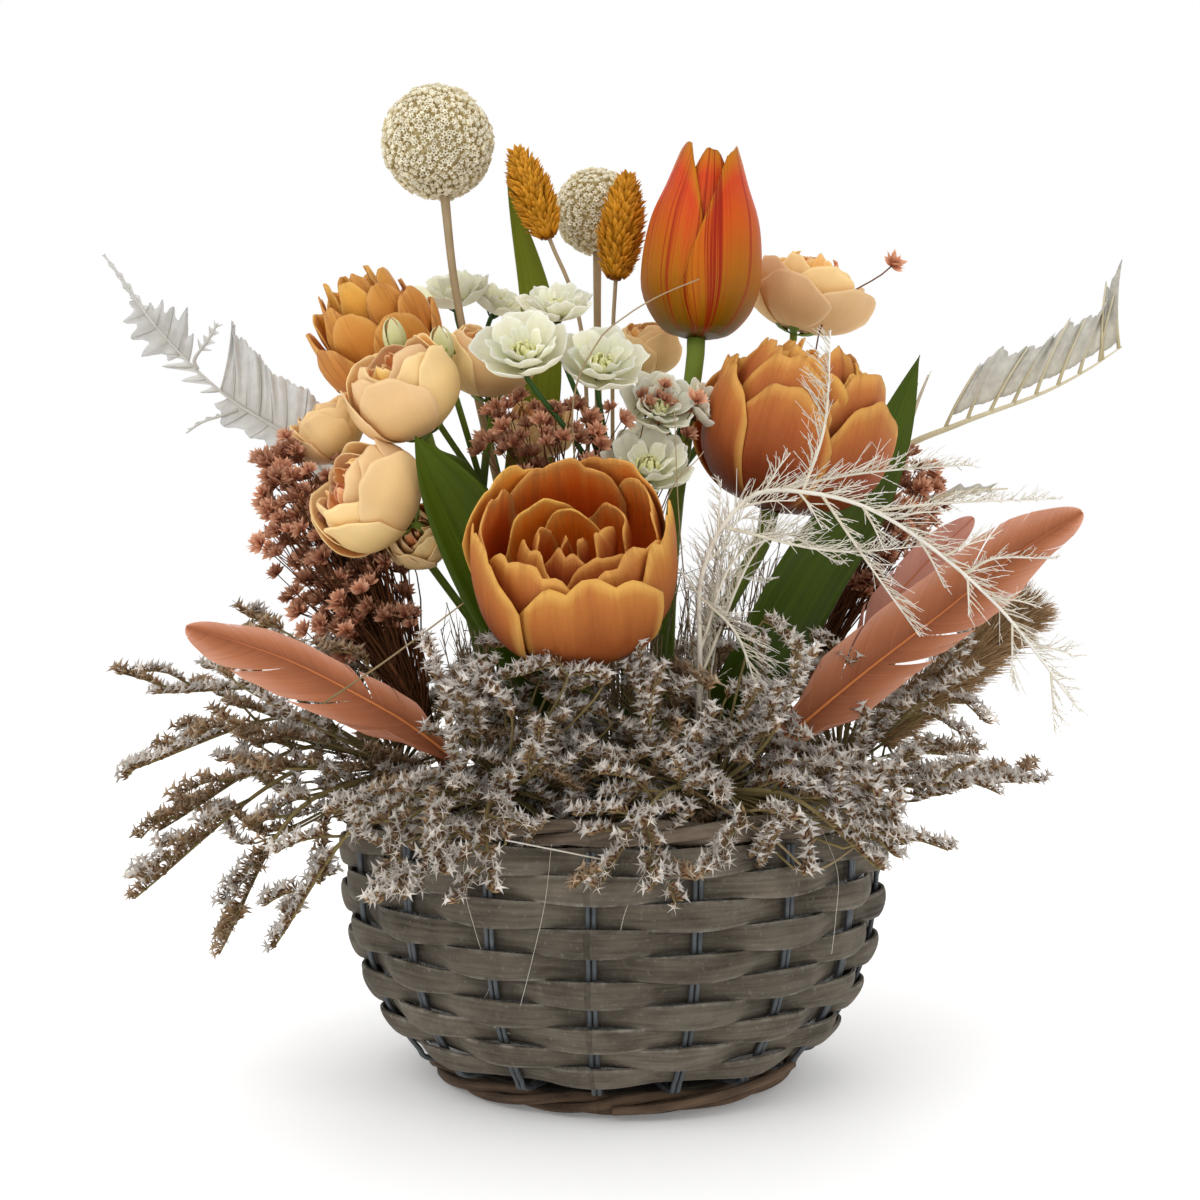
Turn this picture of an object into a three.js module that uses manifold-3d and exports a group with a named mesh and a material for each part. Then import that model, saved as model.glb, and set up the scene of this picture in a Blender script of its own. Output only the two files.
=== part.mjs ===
// A flower arrangement in a round woven basket: tulips, roses and small white
// blossoms among dried grasses, star-flowers, sea lavender, fern and feathers,
// all standing in a block of dry foam inside a film liner.
// Millimetres, +Z up. The origin is the middle of the basket's flat underside,
// and the front of the arrangement looks along -Y.

import * as THREE from 'three';
import { mergeVertices } from 'three/addons/utils/BufferGeometryUtils.js';
import Module from 'manifold-3d';

const wasm = await Module();
wasm.setup();

// ---------------------------------------------------------------- driving sizes

const GAP = 0.3; // clearance between neighbouring pieces
const TURN = 2 * Math.PI;
const FRAME_STEPS = 40; // places along a curve where a swept section's direction is worked out

// The bowl, measured on the line of the stakes.
const WALL = { baseRadius: 62, rimRadius: 97, height: 95, swell: 3.1 };

// Upright wires, woven round by flat splints.
const STAKES = { count: 18, width: 3.4, thick: 1.7, top: 93.8, bow: 0.4, frontTurn: -0.08 };
const SPLINTS = { rows: 10, thick: 1.6, weave: 2.8, low: 14.4, high: 94.2 };

// Twisted canes round the mouth and the foot.
const RIM = { radius: 96, height: 99, thick: 4.2, lobes: 2, points: 5, segments: 36, twists: 4 };
const FOOT = { radius: 64.8, height: 4.6, thick: 3.7, lobes: 3, points: 6, segments: 24, twists: 3 };
const FLOOR = { radius: 59.5, thick: 6.5, segments: 16 };
const BOTTOM_WIRE = { radius: 54, height: 8.7, thick: 3 };

// Inside the basket.
const LINER = { inset: 4.2, thick: 0.8, floor: 13.4, top: 93, segments: 14 };
const FOAM = { gap: 0.5, floor: 14.8, top: 86, socketDepth: 48, socketSlack: 1.7, socketSides: 4 };
const BEND_HEIGHTS = [20, 42, FOAM.top]; // where the liner and the foam follow the wall's curve

// Blade and stem sizes shared by several plants.
const PETAL_THICK = 0.8;
const EDGE_SPREAD = 0.24; // how far a petal's edges reach into the gap beside it, in columns
const LEAF_THICK = 0.9;
const FLORETS_PER_ARM = 3;
const STEM = { tulip: 3.1, rose: 1.9, white: 1.3, dried: 1.5, fine: 0.9, quill: 1.1 };

// ---------------------------------------------------------------- solids

/** A seeded draw between 0 and 1, the same on every run. */
function seeded(seed) {
  let state = seed;
  return () => {
    state = (state * 1664525 + 1013904223) % 4294967296;
    return state / 4294967296;
  };
}

const vector = ([x, y, z]) => new THREE.Vector3(x, y, z);

/** A closed solid from a geometry whose faces close up once its vertices are merged. */
function solidFrom(geometry) {
  const bare = new THREE.BufferGeometry();
  bare.setAttribute('position', geometry.attributes.position.clone());
  if (geometry.index) {
    bare.setIndex(geometry.index.clone());
  }
  const merged = mergeVertices(bare);
  const place = merged.attributes.position;
  const corners = [];
  let volume = 0;
  const [a, b, c] = [new THREE.Vector3(), new THREE.Vector3(), new THREE.Vector3()];
  for (let i = 0; i < merged.index.count; i += 3) {
    const [p, q, r] = [0, 1, 2].map((k) => merged.index.getX(i + k));
    if (p !== q && q !== r && r !== p) {
      corners.push(p, q, r);
      a.fromBufferAttribute(place, p);
      b.fromBufferAttribute(place, q);
      c.fromBufferAttribute(place, r);
      volume += a.dot(b.cross(c));
    }
  }
  const triVerts = Uint32Array.from(volume < 0 ? corners.reverse() : corners);
  const vertProperties = Float32Array.from(place.array);
  return new wasm.Manifold(new wasm.Mesh({ numProp: 3, vertProperties, triVerts }));
}

const join = (solids) => wasm.Manifold.union(solids);

/** A geometry of plain faces from a solid. */
function geometryFrom(solid) {
  const mesh = solid.getMesh();
  const geometry = new THREE.BufferGeometry();
  geometry.setAttribute('position', new THREE.BufferAttribute(mesh.vertProperties, 3));
  geometry.setIndex(new THREE.BufferAttribute(mesh.triVerts, 1));
  geometry.computeVertexNormals();
  return geometry;
}

/** A solid turned about Z from a closed [radius, height] outline. */
function turned(outline, segments) {
  const points = outline.map(([radius, height]) => new THREE.Vector2(radius, height));
  const onAxis = outline[0][0] === 0;
  if (!onAxis) {
    points.push(points[0].clone());
  }
  return new THREE.LatheGeometry(points, segments).rotateX(Math.PI / 2);
}

/**
 * A straight cylinder bent along a smooth curve. Each ring is [place along the curve, radius];
 * the far end may be dished like the mouth of a flower.
 */
function sweepGeometry(points, rings, sides, dish = 0) {
  const curve = new THREE.CatmullRomCurve3(points.map(vector));
  const frames = curve.computeFrenetFrames(FRAME_STEPS, false);
  const steps = rings.length - 1;
  const geometry = new THREE.CylinderGeometry(1, 1, 1, sides, steps, false, Math.PI / sides);
  const position = geometry.attributes.position;
  for (let i = 0; i < position.count; i += 1) {
    const [x, y, z] = [position.getX(i), position.getY(i), position.getZ(i)];
    const [along, radius] = rings[Math.round((y + 0.5) * steps)];
    const frame = Math.round(along * FRAME_STEPS);
    const centre = curve.getPointAt(along);
    centre.addScaledVector(frames.binormals[frame], x * radius);
    centre.addScaledVector(frames.normals[frame], z * radius);
    if (y > 0.49 && Math.hypot(x, z) < 0.5) {
      centre.addScaledVector(frames.tangents[frame], -dish);
    }
    position.setXYZ(i, centre.x, centre.y, centre.z);
  }
  return geometry;
}

/** Rings at even steps, from one radius to another. */
function evenRings(rootRadius, tipRadius, steps) {
  const ring = (i) => [i / steps, rootRadius + ((tipRadius - rootRadius) * i) / steps];
  return Array.from({ length: steps + 1 }, (_, i) => ring(i));
}

/** A stem, twig, wire or quill along a smooth curve. */
function stem(points, rootRadius, tipRadius, sides, steps) {
  return solidFrom(sweepGeometry(points, evenRings(rootRadius, tipRadius, steps), sides));
}

/** The place on a swept stem's own straight steps, a share of the way along it. */
function stemPoint(points, steps, along) {
  const curve = new THREE.CatmullRomCurve3(points.map(vector));
  const ring = Math.min(Math.floor(along * steps), steps - 1);
  const start = curve.getPointAt(ring / steps);
  return start.lerp(curve.getPointAt((ring + 1) / steps), along * steps - ring);
}

/** A thin sheet of even thickness, split into the same triangles on both faces. */
function blade(columns, rows, thick, place) {
  const sheet = new THREE.PlaneGeometry(2, 1, columns, rows);
  const flat = sheet.attributes.position;
  for (let i = 0; i < flat.count; i += 1) {
    const point = place(flat.getX(i), flat.getY(i) + 0.5);
    flat.setXYZ(i, point.x, point.y, point.z);
  }
  sheet.computeVertexNormals();
  const normal = sheet.attributes.normal;
  const count = flat.count;
  const both = new Float32Array(count * 6);
  for (let i = 0; i < count; i += 1) {
    const axes = [[flat.getX(i), normal.getX(i)], [flat.getY(i), normal.getY(i)], [flat.getZ(i), normal.getZ(i)]];
    axes.forEach(([middle, slope], axis) => {
      both[i * 3 + axis] = middle + slope * thick * 0.5;
      both[(i + count) * 3 + axis] = middle - slope * thick * 0.5;
    });
  }
  const faces = [];
  for (let i = 0; i < sheet.index.count; i += 3) {
    const [p, q, r] = [0, 1, 2].map((k) => sheet.index.getX(i + k));
    faces.push(p, q, r, r + count, q + count, p + count);
  }
  const wide = columns + 1;
  const edge = [];
  for (let i = 0; i < columns; i += 1) {
    edge.push([i + 1, i], [rows * wide + i, rows * wide + i + 1]);
  }
  for (let j = 0; j < rows; j += 1) {
    edge.push([j * wide, (j + 1) * wide], [(j + 2) * wide - 1, (j + 1) * wide - 1]);
  }
  edge.forEach(([p, q]) => faces.push(p, p + count, q, q, p + count, q + count));
  const closed = new THREE.BufferGeometry();
  closed.setAttribute('position', new THREE.BufferAttribute(both, 3));
  closed.setIndex(faces);
  return solidFrom(closed);
}

/** Turns and moves a geometry that stands on the origin so that it stands on a point along an axis. */
function stand(geometry, at, axis, spin = 0) {
  const turn = new THREE.Quaternion().setFromUnitVectors(new THREE.Vector3(0, 0, 1), axis.clone().normalize());
  turn.multiply(new THREE.Quaternion().setFromAxisAngle(new THREE.Vector3(0, 0, 1), spin));
  return geometry.applyMatrix4(new THREE.Matrix4().compose(at, turn, new THREE.Vector3(1, 1, 1)));
}

/** A slim three-sided needle or twig, standing on a point along an axis. */
function needle(at, axis, length, radius) {
  const geometry = new THREE.ConeGeometry(radius, length, 3).rotateX(Math.PI / 2).translate(0, 0, length / 2);
  return solidFrom(stand(geometry, at, axis));
}

/** A thin stalk that opens at its end into a small dished floret. */
function floret(points, stalk, mouth, depth, sides) {
  const long = new THREE.CatmullRomCurve3(points.map(vector)).getLength();
  const neck = 1 - depth / long;
  const rings = neck > 0.5 ? [[0, stalk], [neck, stalk * 0.8], [1, mouth]] : [[0, stalk], [1, mouth]];
  return solidFrom(sweepGeometry(points, rings, sides, depth * 0.4));
}

/** True where two solids share any space. */
const touches = (one, other) => !one.intersect(other).isEmpty();

// ---------------------------------------------------------------- scene graph

const arrangement = new THREE.Group();
const placed = [];
const sockets = [];

/** Adds one named piece, and keeps its solid for the clearance tests that follow. */
function addPiece(name, solid, look, home = null, parent = arrangement) {
  const [color, roughness, metalness] = look;
  const mesh = new THREE.Mesh(
    geometryFrom(solid),
    new THREE.MeshStandardMaterial({ color, roughness, metalness }),
  );
  mesh.name = name;
  if (home) {
    mesh.position.copy(home.at);
    mesh.quaternion.setFromUnitVectors(new THREE.Vector3(0, 0, 1), home.axis);
  }
  parent.add(mesh);
  mesh.updateWorldMatrix(true, false);
  const world = solid.transform(mesh.matrixWorld.elements);
  placed.push({ name, world, box: world.boundingBox() });
}

/** True where a small solid touches nothing that is already placed. */
function isClear(solid) {
  const box = solid.boundingBox();
  const apart = (one) => [0, 1, 2].some((k) => one.box.min[k] > box.max[k] || one.box.max[k] < box.min[k]);
  return placed.every((one) => apart(one) || one.world.intersect(solid).isEmpty());
}

/** The straight points of a stem inside the foam, on the line to its next point, and its hole. */
function rooted([x, y], next, radius) {
  const rise = next[2] - FOAM.top;
  const at = (z) => {
    const share = (z - FOAM.top) / rise;
    return [x + (next[0] - x) * share, y + (next[1] - y) * share, z];
  };
  const depth = FOAM.socketDepth;
  const slack = radius + FOAM.socketSlack;
  sockets.push(stem([at(depth - 2), at(FOAM.top + 4)], slack, slack, FOAM.socketSides, 1));
  return [at(depth), at((depth + FOAM.top) / 2), at(FOAM.top + 3)];
}

// ---------------------------------------------------------------- the basket

const basket = new THREE.Group();
basket.rotation.z = STAKES.frontTurn;
arrangement.add(basket);

const LOOKS = {
  wire: [0x8f9499, 0.55, 0.3],
  splint: [0x6e655b, 0.85, 0],
  cane: [0x8a7967, 0.8, 0],
  foot: [0x6b5646, 0.8, 0],
  floor: [0x6e655b, 0.9, 0],
  liner: [0xe8ecea, 0.2, 0],
  foam: [0x8c8a6b, 0.95, 0],
  bud: [0xdc5a2c, 0.6, 0],
  tulip: [0xe0884a, 0.7, 0],
  rose: [0xf0c492, 0.75, 0],
  white: [0xf4f1e2, 0.75, 0],
  green: [0x4c6b2f, 0.6, 0],
  leaf: [0x35561f, 0.55, 0],
  craspedia: [0xe6dcc0, 0.9, 0],
  phalaris: [0xc88a2e, 0.9, 0],
  feather: [0xd08c6e, 0.8, 0],
  blush: [0xd8a08c, 0.8, 0],
  statice: [0xb8a8a0, 0.9, 0],
  starflower: [0xc48c7c, 0.9, 0],
  fern: [0xe4dccc, 0.85, 0],
  grass: [0xeae2d2, 0.85, 0],
  plume: [0xa88a68, 0.95, 0],
};

const wallRadius = (z) => {
  const rise = 1 - (1 - z / WALL.height) ** WALL.swell;
  return WALL.baseRadius + (WALL.rimRadius - WALL.baseRadius) * rise;
};

/** Points up the line of the stakes, from one height to another. */
function wallLine(low, high, count) {
  const heights = Array.from({ length: count + 1 }, (_, i) => low + ((high - low) * i) / count);
  return heights.map((z) => [wallRadius(z), 0, z]);
}

/** A flat bar in the XZ plane, through each point of a path. */
function barGeometry(path, thick, width) {
  const steps = path.length - 1;
  const geometry = new THREE.CylinderGeometry(Math.SQRT1_2, Math.SQRT1_2, 1, 4, steps, false, Math.PI / 4);
  const position = geometry.attributes.position;
  for (let i = 0; i < position.count; i += 1) {
    const ring = Math.round((position.getY(i) + 0.5) * steps);
    const ahead = vector(path[Math.min(ring + 1, steps)]).sub(vector(path[Math.max(ring - 1, 0)])).normalize();
    const [across, out] = [position.getZ(i) * width, position.getX(i) * thick];
    const [x, , z] = path[ring];
    position.setXYZ(i, x + ahead.z * out, across, z - ahead.x * out);
  }
  return geometry;
}

/** The wires: a ring under the liner and a flat pair of wires up each stake. */
function wireFrame() {
  const { radius, height, thick } = BOTTOM_WIRE;
  const half = thick / 2;
  const square = [[radius - half, height - half], [radius + half, height - half],
    [radius + half, height + half], [radius - half, height + half]];
  const ring = turned(square, STAKES.count).rotateZ(TURN / STAKES.count / 2);
  const solids = [solidFrom(ring)];
  const upright = [14, 30, 56].map((z) => [wallRadius(z) + STAKES.bow, 0, z]);
  const path = [[radius, 0, height], ...upright, [wallRadius(STAKES.top), 0, STAKES.top]];
  for (let i = 0; i < STAKES.count; i += 1) {
    const stake = barGeometry(path, STAKES.thick, STAKES.width);
    solids.push(solidFrom(stake.rotateZ((i * TURN) / STAKES.count - Math.PI / 2)));
  }
  return join(solids);
}

/** One flat splint, woven in front of and behind the stakes by turns. */
function splintRow(index) {
  const line = new THREE.CatmullRomCurve3(wallLine(SPLINTS.low, SPLINTS.high, 16).map(vector));
  const low = line.getPointAt(index / SPLINTS.rows);
  const high = line.getPointAt((index + 1) / SPLINTS.rows);
  const [bottom, top] = [low.z + GAP / 2, high.z - GAP / 2];
  const half = SPLINTS.thick / 2;
  const outline = [[low.x - half, bottom], [low.x + half, bottom], [high.x + half, top], [high.x - half, top]];
  const geometry = turned(outline, STAKES.count * 2);
  const side = index % 2 === 0 ? 1 : -1;
  const position = geometry.attributes.position;
  for (let i = 0; i < position.count; i += 1) {
    const [x, y] = [position.getX(i), position.getY(i)];
    const angle = Math.atan2(x, -y);
    const shift = 1 + (side * SPLINTS.weave * Math.cos((angle * STAKES.count) / 2)) / Math.hypot(x, y);
    position.setXY(i, x * shift, y * shift);
  }
  return solidFrom(geometry);
}

/** Canes twisted round each other into a ring. */
function twistedRing({ radius, height, thick, lobes, points, segments, twists }) {
  const blank = Array.from({ length: points + 1 }, () => new THREE.Vector2(radius, height));
  const geometry = new THREE.LatheGeometry(blank, segments).rotateX(Math.PI / 2);
  const position = geometry.attributes.position;
  for (let i = 0; i < position.count; i += 1) {
    const turn = (Math.floor(i / (points + 1)) / segments) * TURN;
    const corner = ((i % (points + 1)) / points) * TURN;
    const reach = thick * (0.9 + 0.2 * Math.cos(lobes * corner));
    const around = corner + turn * twists;
    const out = radius + reach * Math.cos(around);
    position.setXYZ(i, out * Math.sin(turn), -out * Math.cos(turn), height + reach * Math.sin(around));
  }
  return solidFrom(geometry);
}

/** A [radius, height] line that follows the inside of the wall at a distance. */
const insideWall = (heights, inset) => heights.map((z) => [wallRadius(z) - inset, z]);

/** The film liner: a thin cup that follows the inside of the wall. */
function linerCup() {
  const { inset, thick, floor, top, segments } = LINER;
  const outside = insideWall([...BEND_HEIGHTS, top], inset);
  const inside = insideWall([...BEND_HEIGHTS, top], inset + thick).reverse();
  const bottom = wallRadius(floor) - inset - 4;
  const outline = [[0, floor], [bottom, floor], ...outside, ...inside, [bottom, floor + thick], [0, floor + thick]];
  return solidFrom(turned(outline, segments));
}

/** The dry foam, with a plain hole for each stem. */
function foamBlock() {
  const inset = LINER.inset + LINER.thick + FOAM.gap;
  const side = insideWall(BEND_HEIGHTS, inset);
  const outline = [[0, FOAM.floor], [side[0][0] - 8.5, FOAM.floor], ...side, [0, FOAM.top]];
  const block = solidFrom(turned(outline, LINER.segments).rotateZ(STAKES.frontTurn));
  return sockets.reduce((rest, socket) => rest.subtract(socket), block);
}

// ---------------------------------------------------------------- blooms

/** The rings of a corolla: up the outside of each layer of petals, over its edge and down its inside. */
function corollaRings(layers, crown) {
  const rings = [{ out: 0, up: 0, share: 0, layer: layers[0] }];
  layers.forEach((layer) => {
    const edge = layer.outside[layer.outside.length - 1];
    [...layer.outside, ...layer.inside].forEach(([out, up]) => {
      rings.push({ out, up, share: Math.min(1, (out + up) / (edge[0] + edge[1])) ** 2, layer });
    });
  });
  crown.forEach(([out, up]) => rings.push({ out, up, share: 0, layer: layers[0] }));
  return rings;
}

/**
 * A bloom as one closed body: layers of petals that each lap the next petal by one side,
 * pleated together low down, round a small crown. Every column keeps its own place round the
 * axis, so the folds never run through each other.
 */
function bloom({ petals, columns, layers, crown }) {
  const rings = corollaRings(layers, crown);
  const around = petals * columns;
  const geometry = new THREE.LatheGeometry(rings.map(() => new THREE.Vector2(1, 0)), around);
  const position = geometry.attributes.position;
  for (let i = 0; i < position.count; i += 1) {
    const column = Math.floor(i / rings.length) % around;
    const { out, up, share, layer } = rings[i % rings.length];
    const across = (((column + layer.shift) % columns) / (columns - 1)) * 2 - 1;
    const [lapOut, lapUp] = layer.lap;
    const edge = across * across * share;
    const reach = out * (1 - layer.notch * edge) + lapOut * across * share;
    const height = up * (1 - layer.drop * edge) + lapUp * across * share;
    const angle = ((column + across * share * EDGE_SPREAD) / around) * TURN;
    position.setXYZ(i, reach * Math.cos(angle), reach * Math.sin(angle), height);
  }
  return solidFrom(geometry);
}

/** Shrinks or swells a bloom to a share of its width and its height. */
function sized(kind, wide, tall) {
  const grown = (rings) => rings.map(([out, up]) => [out * wide, up * tall]);
  const layers = kind.layers.map((layer) => ({
    ...layer, outside: grown(layer.outside), inside: grown(layer.inside),
  }));
  return { ...kind, layers, crown: grown(kind.crown) };
}

const DOUBLE_TULIP = {
  petals: 5,
  columns: 3,
  crown: [[0, 43]],
  layers: [
    { shift: 0, lap: [1.7, 0], notch: 0, drop: 0.13,
      outside: [[20, 4], [34, 26], [31.5, 59]], inside: [[30.5, 59], [26, 17]] },
    { shift: 1, lap: [1.5, 0], notch: 0, drop: 0.12,
      outside: [[24, 37], [21.5, 57]], inside: [[20.5, 57], [17, 25]] },
    { shift: 2, lap: [1.1, 0], notch: 0, drop: 0.12,
      outside: [[13, 54]], inside: [[12, 54], [8, 37]] },
  ],
};

const TULIP_BUD = {
  petals: 3,
  columns: 4,
  crown: [[0, 58]],
  layers: [
    { shift: 0, lap: [1.2, 0], notch: 0, drop: 0.13,
      outside: [[15, 4], [22, 24], [20, 45], [10, 70]], inside: [[9, 70], [10, 52]] },
    { shift: 2, lap: [0.6, 0], notch: 0, drop: 0.1,
      outside: [[5.6, 69]], inside: [[4.6, 69], [2.6, 58]] },
  ],
};

const ROSE = {
  petals: 4,
  columns: 3,
  crown: [[0, 28]],
  layers: [
    { shift: 0, lap: [1.1, 0], notch: 0, drop: 0.12,
      outside: [[12, 3], [19, 14], [17.5, 27.5]], inside: [[16.5, 27.5], [13.5, 15]] },
    { shift: 1, lap: [0.9, 0], notch: 0, drop: 0.1,
      outside: [[11, 30.5]], inside: [[10, 30.5], [6.4, 21]] },
  ],
};

const WHITE_BLOSSOM = {
  petals: 5,
  columns: 3,
  crown: [[0, 11]],
  layers: [
    { shift: 0, lap: [0, 0.7], notch: 0.16, drop: -0.08,
      outside: [[16, 6]], inside: [[16.4, 7.2], [7.5, 5.2]] },
    { shift: 1, lap: [0, 0.5], notch: 0.14, drop: -0.05,
      outside: [[10.6, 10.6]], inside: [[10.4, 12], [4, 8]] },
  ],
};

/** Places a bloom on its base point, and gives back the point where its stem ends. */
function addBloom(name, kind, look, at, axis) {
  const home = { at: vector(at), axis: vector(axis).normalize() };
  addPiece(name, bloom(kind), look, home);
  return home.at.clone().addScaledVector(home.axis, -GAP - 0.3);
}

/** The last two points of a stem that meets a bloom square to its base. */
function meets(end, axis, run) {
  const back = end.clone().addScaledVector(vector(axis).normalize(), -run);
  return [back.toArray(), end.toArray()];
}

/** A long smooth leaf that narrows at both ends, hollowed along its middle. */
function longLeaf(points, half, facing, rows) {
  const spine = new THREE.CatmullRomCurve3(points.map(vector));
  const front = vector(facing).normalize();
  return blade(2, rows, LEAF_THICK, (across, along) => {
    const middle = spine.getPointAt(along);
    const sideways = spine.getTangentAt(along).cross(front).normalize();
    const wide = half * Math.sin(Math.PI * (0.1 + 0.86 * along)) ** 0.8;
    const hollow = 0.22 * wide * across * across;
    return middle.addScaledVector(sideways, across * wide).addScaledVector(front, hollow);
  });
}

// ---------------------------------------------------------------- tulips

const TULIPS = [
  { name: 'tulip_front', kind: sized(DOUBLE_TULIP, 1, 0.92), look: LOOKS.tulip,
    at: [-12, -59, 163], axis: [-0.04, -0.7, 0.71], root: [-8, -44],
    path: [[-9, -48, 112], [-11, -52, 138]],
    leaf: { points: [[-10.5, -51, 122], [-27, -46, 148], [-42, -46, 175], [-53, -54, 200], [-66, -70, 225]],
      half: 11, facing: [-0.2, -1, 0.1] } },
  { name: 'tulip_right', kind: sized(DOUBLE_TULIP, 1, 1.02), look: LOOKS.tulip,
    at: [57, -14, 205], axis: [0.25, -0.1, 0.96], root: [22, -22],
    path: [[27, -21, 125], [36, -19, 160]],
    leaf: { points: [[25, -21, 108], [40, -34, 132], [58, -38, 154], [81, -28, 180], [100, 2, 208], [115, 18, 263]],
      half: 12, facing: [0.3, -1, 0] } },
  { name: 'tulip_back', kind: sized(DOUBLE_TULIP, 0.8, 0.88), look: LOOKS.tulip,
    at: [-81, 15, 254], axis: [-0.5, 0.3, 0.81], root: [-36, 16],
    path: [[-44, 16, 128], [-60, 16, 190]],
    leaf: { points: [[-42, 16, 118], [-38, 24, 160], [-33, 27, 220], [-28, 26, 275], [-41, 23, 336]],
      half: 9, facing: [0, -1, 0] } },
  { name: 'tulip_bud', kind: TULIP_BUD, look: LOOKS.bud,
    at: [31, 0, 270], axis: [0.08, 0, 1], root: [12, 2],
    path: [[15, 3, 130], [21, 4, 190]] },
];

function addTulip({ name, kind, look, at, axis, root, path, leaf }) {
  const end = addBloom(name, kind, look, at, axis);
  const points = [...rooted(root, path[0], STEM.tulip), ...path, ...meets(end, axis, 14)];
  const solids = [stem(points, STEM.tulip, STEM.tulip, 5, 6)];
  if (leaf) {
    solids.push(longLeaf(leaf.points, leaf.half, leaf.facing, 6));
  }
  addPiece(`${name}_stem`, join(solids), leaf ? LOOKS.leaf : LOOKS.green);
}

// ---------------------------------------------------------------- roses and white blossoms

const ROSES_LEFT = {
  root: [-26, -12],
  trunk: [[-31, -14, 130], [-40, -18, 175], [-47, -22, 212]],
  blooms: [
    { name: 'rose_upper', scale: 1, at: [-66, -41, 231], axis: [-0.42, -0.42, 0.8], fork: 2 },
    { name: 'rose_left', scale: 1.02, at: [-72, -42, 200], axis: [-0.76, -0.46, 0.45], fork: 1 },
    { name: 'rose_bud_left', scale: 0.68, at: [-97, -20, 224], axis: [-0.55, -0.2, 0.8], fork: 1 },
    { name: 'rose_middle', scale: 0.86, at: [-45, -9, 247], axis: [-0.02, -0.25, 0.97], fork: 2 },
  ],
  buds: [[[-66, -15, 240], [-79, -20, 267], [-0.2, 0, 1]], [[-55, -27, 240], [-61, -30, 262], [-0.1, -0.1, 1]]],
};

const ROSES_RIGHT = {
  root: [20, 28],
  trunk: [[22, 33, 130], [24, 38, 180], [28, 42, 225]],
  blooms: [
    { name: 'rose_right', scale: 1.08, at: [73, 45, 281], axis: [0.3, -0.1, 0.95], fork: 2 },
    { name: 'rose_behind', scale: 0.72, at: [17, 46, 262], axis: [0, -0.3, 0.95], fork: 2 },
    { name: 'rose_inner', scale: 0.62, at: [-27, 10, 228], axis: [0.05, -0.5, 0.86], fork: 0 },
  ],
  buds: [],
};

const WHITES_FRONT = {
  root: [4, -18],
  trunk: [[4, -21, 130], [3, -25, 175], [0, -28, 205]],
  blooms: [
    { name: 'white_left', scale: 1, at: [-30, -51, 252], axis: [-0.1, -0.72, 0.69], fork: 2 },
    { name: 'white_centre', scale: 0.96, at: [-5, -38, 250], axis: [0.1, -0.74, 0.66], fork: 2 },
    { name: 'white_upper', scale: 0.82, at: [-21, -25, 272], axis: [0, -0.5, 0.87], fork: 2 },
    { name: 'white_right', scale: 0.82, at: [15, -25, 238], axis: [0.2, -0.8, 0.56], fork: 2 },
    { name: 'white_lower', scale: 1, at: [11, -33, 215], axis: [0.1, -0.72, 0.69], fork: 1 },
  ],
  buds: [],
};

const WHITES_BACK = {
  root: [-22, 32],
  trunk: [[-27, 35, 130], [-38, 39, 190], [-50, 44, 240]],
  blooms: [{ name: 'white_back', scale: 0.74, at: [-63, 47, 290], axis: [-0.1, -0.4, 0.92], fork: 2 }],
  buds: [],
};

/** A branched stem with a bloom on each branch, and a closed green bud on some. */
function addBranch(name, kind, look, radius, plan) {
  const trunk = [...rooted(plan.root, plan.trunk[0], radius), ...plan.trunk];
  const sides = radius > 1.5 ? 4 : 3;
  const solids = [stem(trunk, radius, radius * 0.85, sides, 5)];
  plan.blooms.forEach(({ name: bloomName, scale, at, axis, fork }) => {
    const end = addBloom(bloomName, sized(kind, scale, scale), look, at, axis);
    const tail = meets(end, axis, 9);
    solids.push(stem([plan.trunk[fork], ...tail], radius * 0.8, radius * 0.8, sides, 3));
  });
  plan.buds.forEach(([middle, at, axis]) => {
    const bulb = new THREE.SphereGeometry(1, 5, 4).rotateX(Math.PI / 2).scale(4, 4, 7).translate(0, 0, 5);
    solids.push(solidFrom(stand(bulb, vector(at), vector(axis))));
    solids.push(stem([plan.trunk[2], middle, at], radius * 0.6, radius * 0.5, 3, 3));
  });
  addPiece(name, join(solids), LOOKS.green);
}

// ---------------------------------------------------------------- dried heads and plumes

/** A dried globe flower: a ball raised all over in small florets, on its stiff stem. */
function addGlobe(name, radius, centre, root, path, detail) {
  const ball = new THREE.IcosahedronGeometry(radius, detail);
  const position = ball.attributes.position;
  for (let i = 0; i < position.count; i += 1) {
    const [x, y, z] = [position.getX(i), position.getY(i), position.getZ(i)].map((v) => Math.round(v * 100) / 100);
    const raised = 1 + 0.07 * Math.sin(5.3 * x + 2.1 * y) * Math.cos(4.7 * z + 1.3 * x - y);
    position.setXYZ(i, x * raised, y * raised, z * raised);
  }
  ball.translate(...centre);
  const neck = [centre[0], centre[1], centre[2] - radius * 0.8];
  const points = [...rooted(root, path[0], STEM.dried), ...path, neck];
  addPiece(name, join([solidFrom(ball), stem(points, STEM.dried, STEM.dried, 4, 6)]), LOOKS.craspedia);
}

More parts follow.
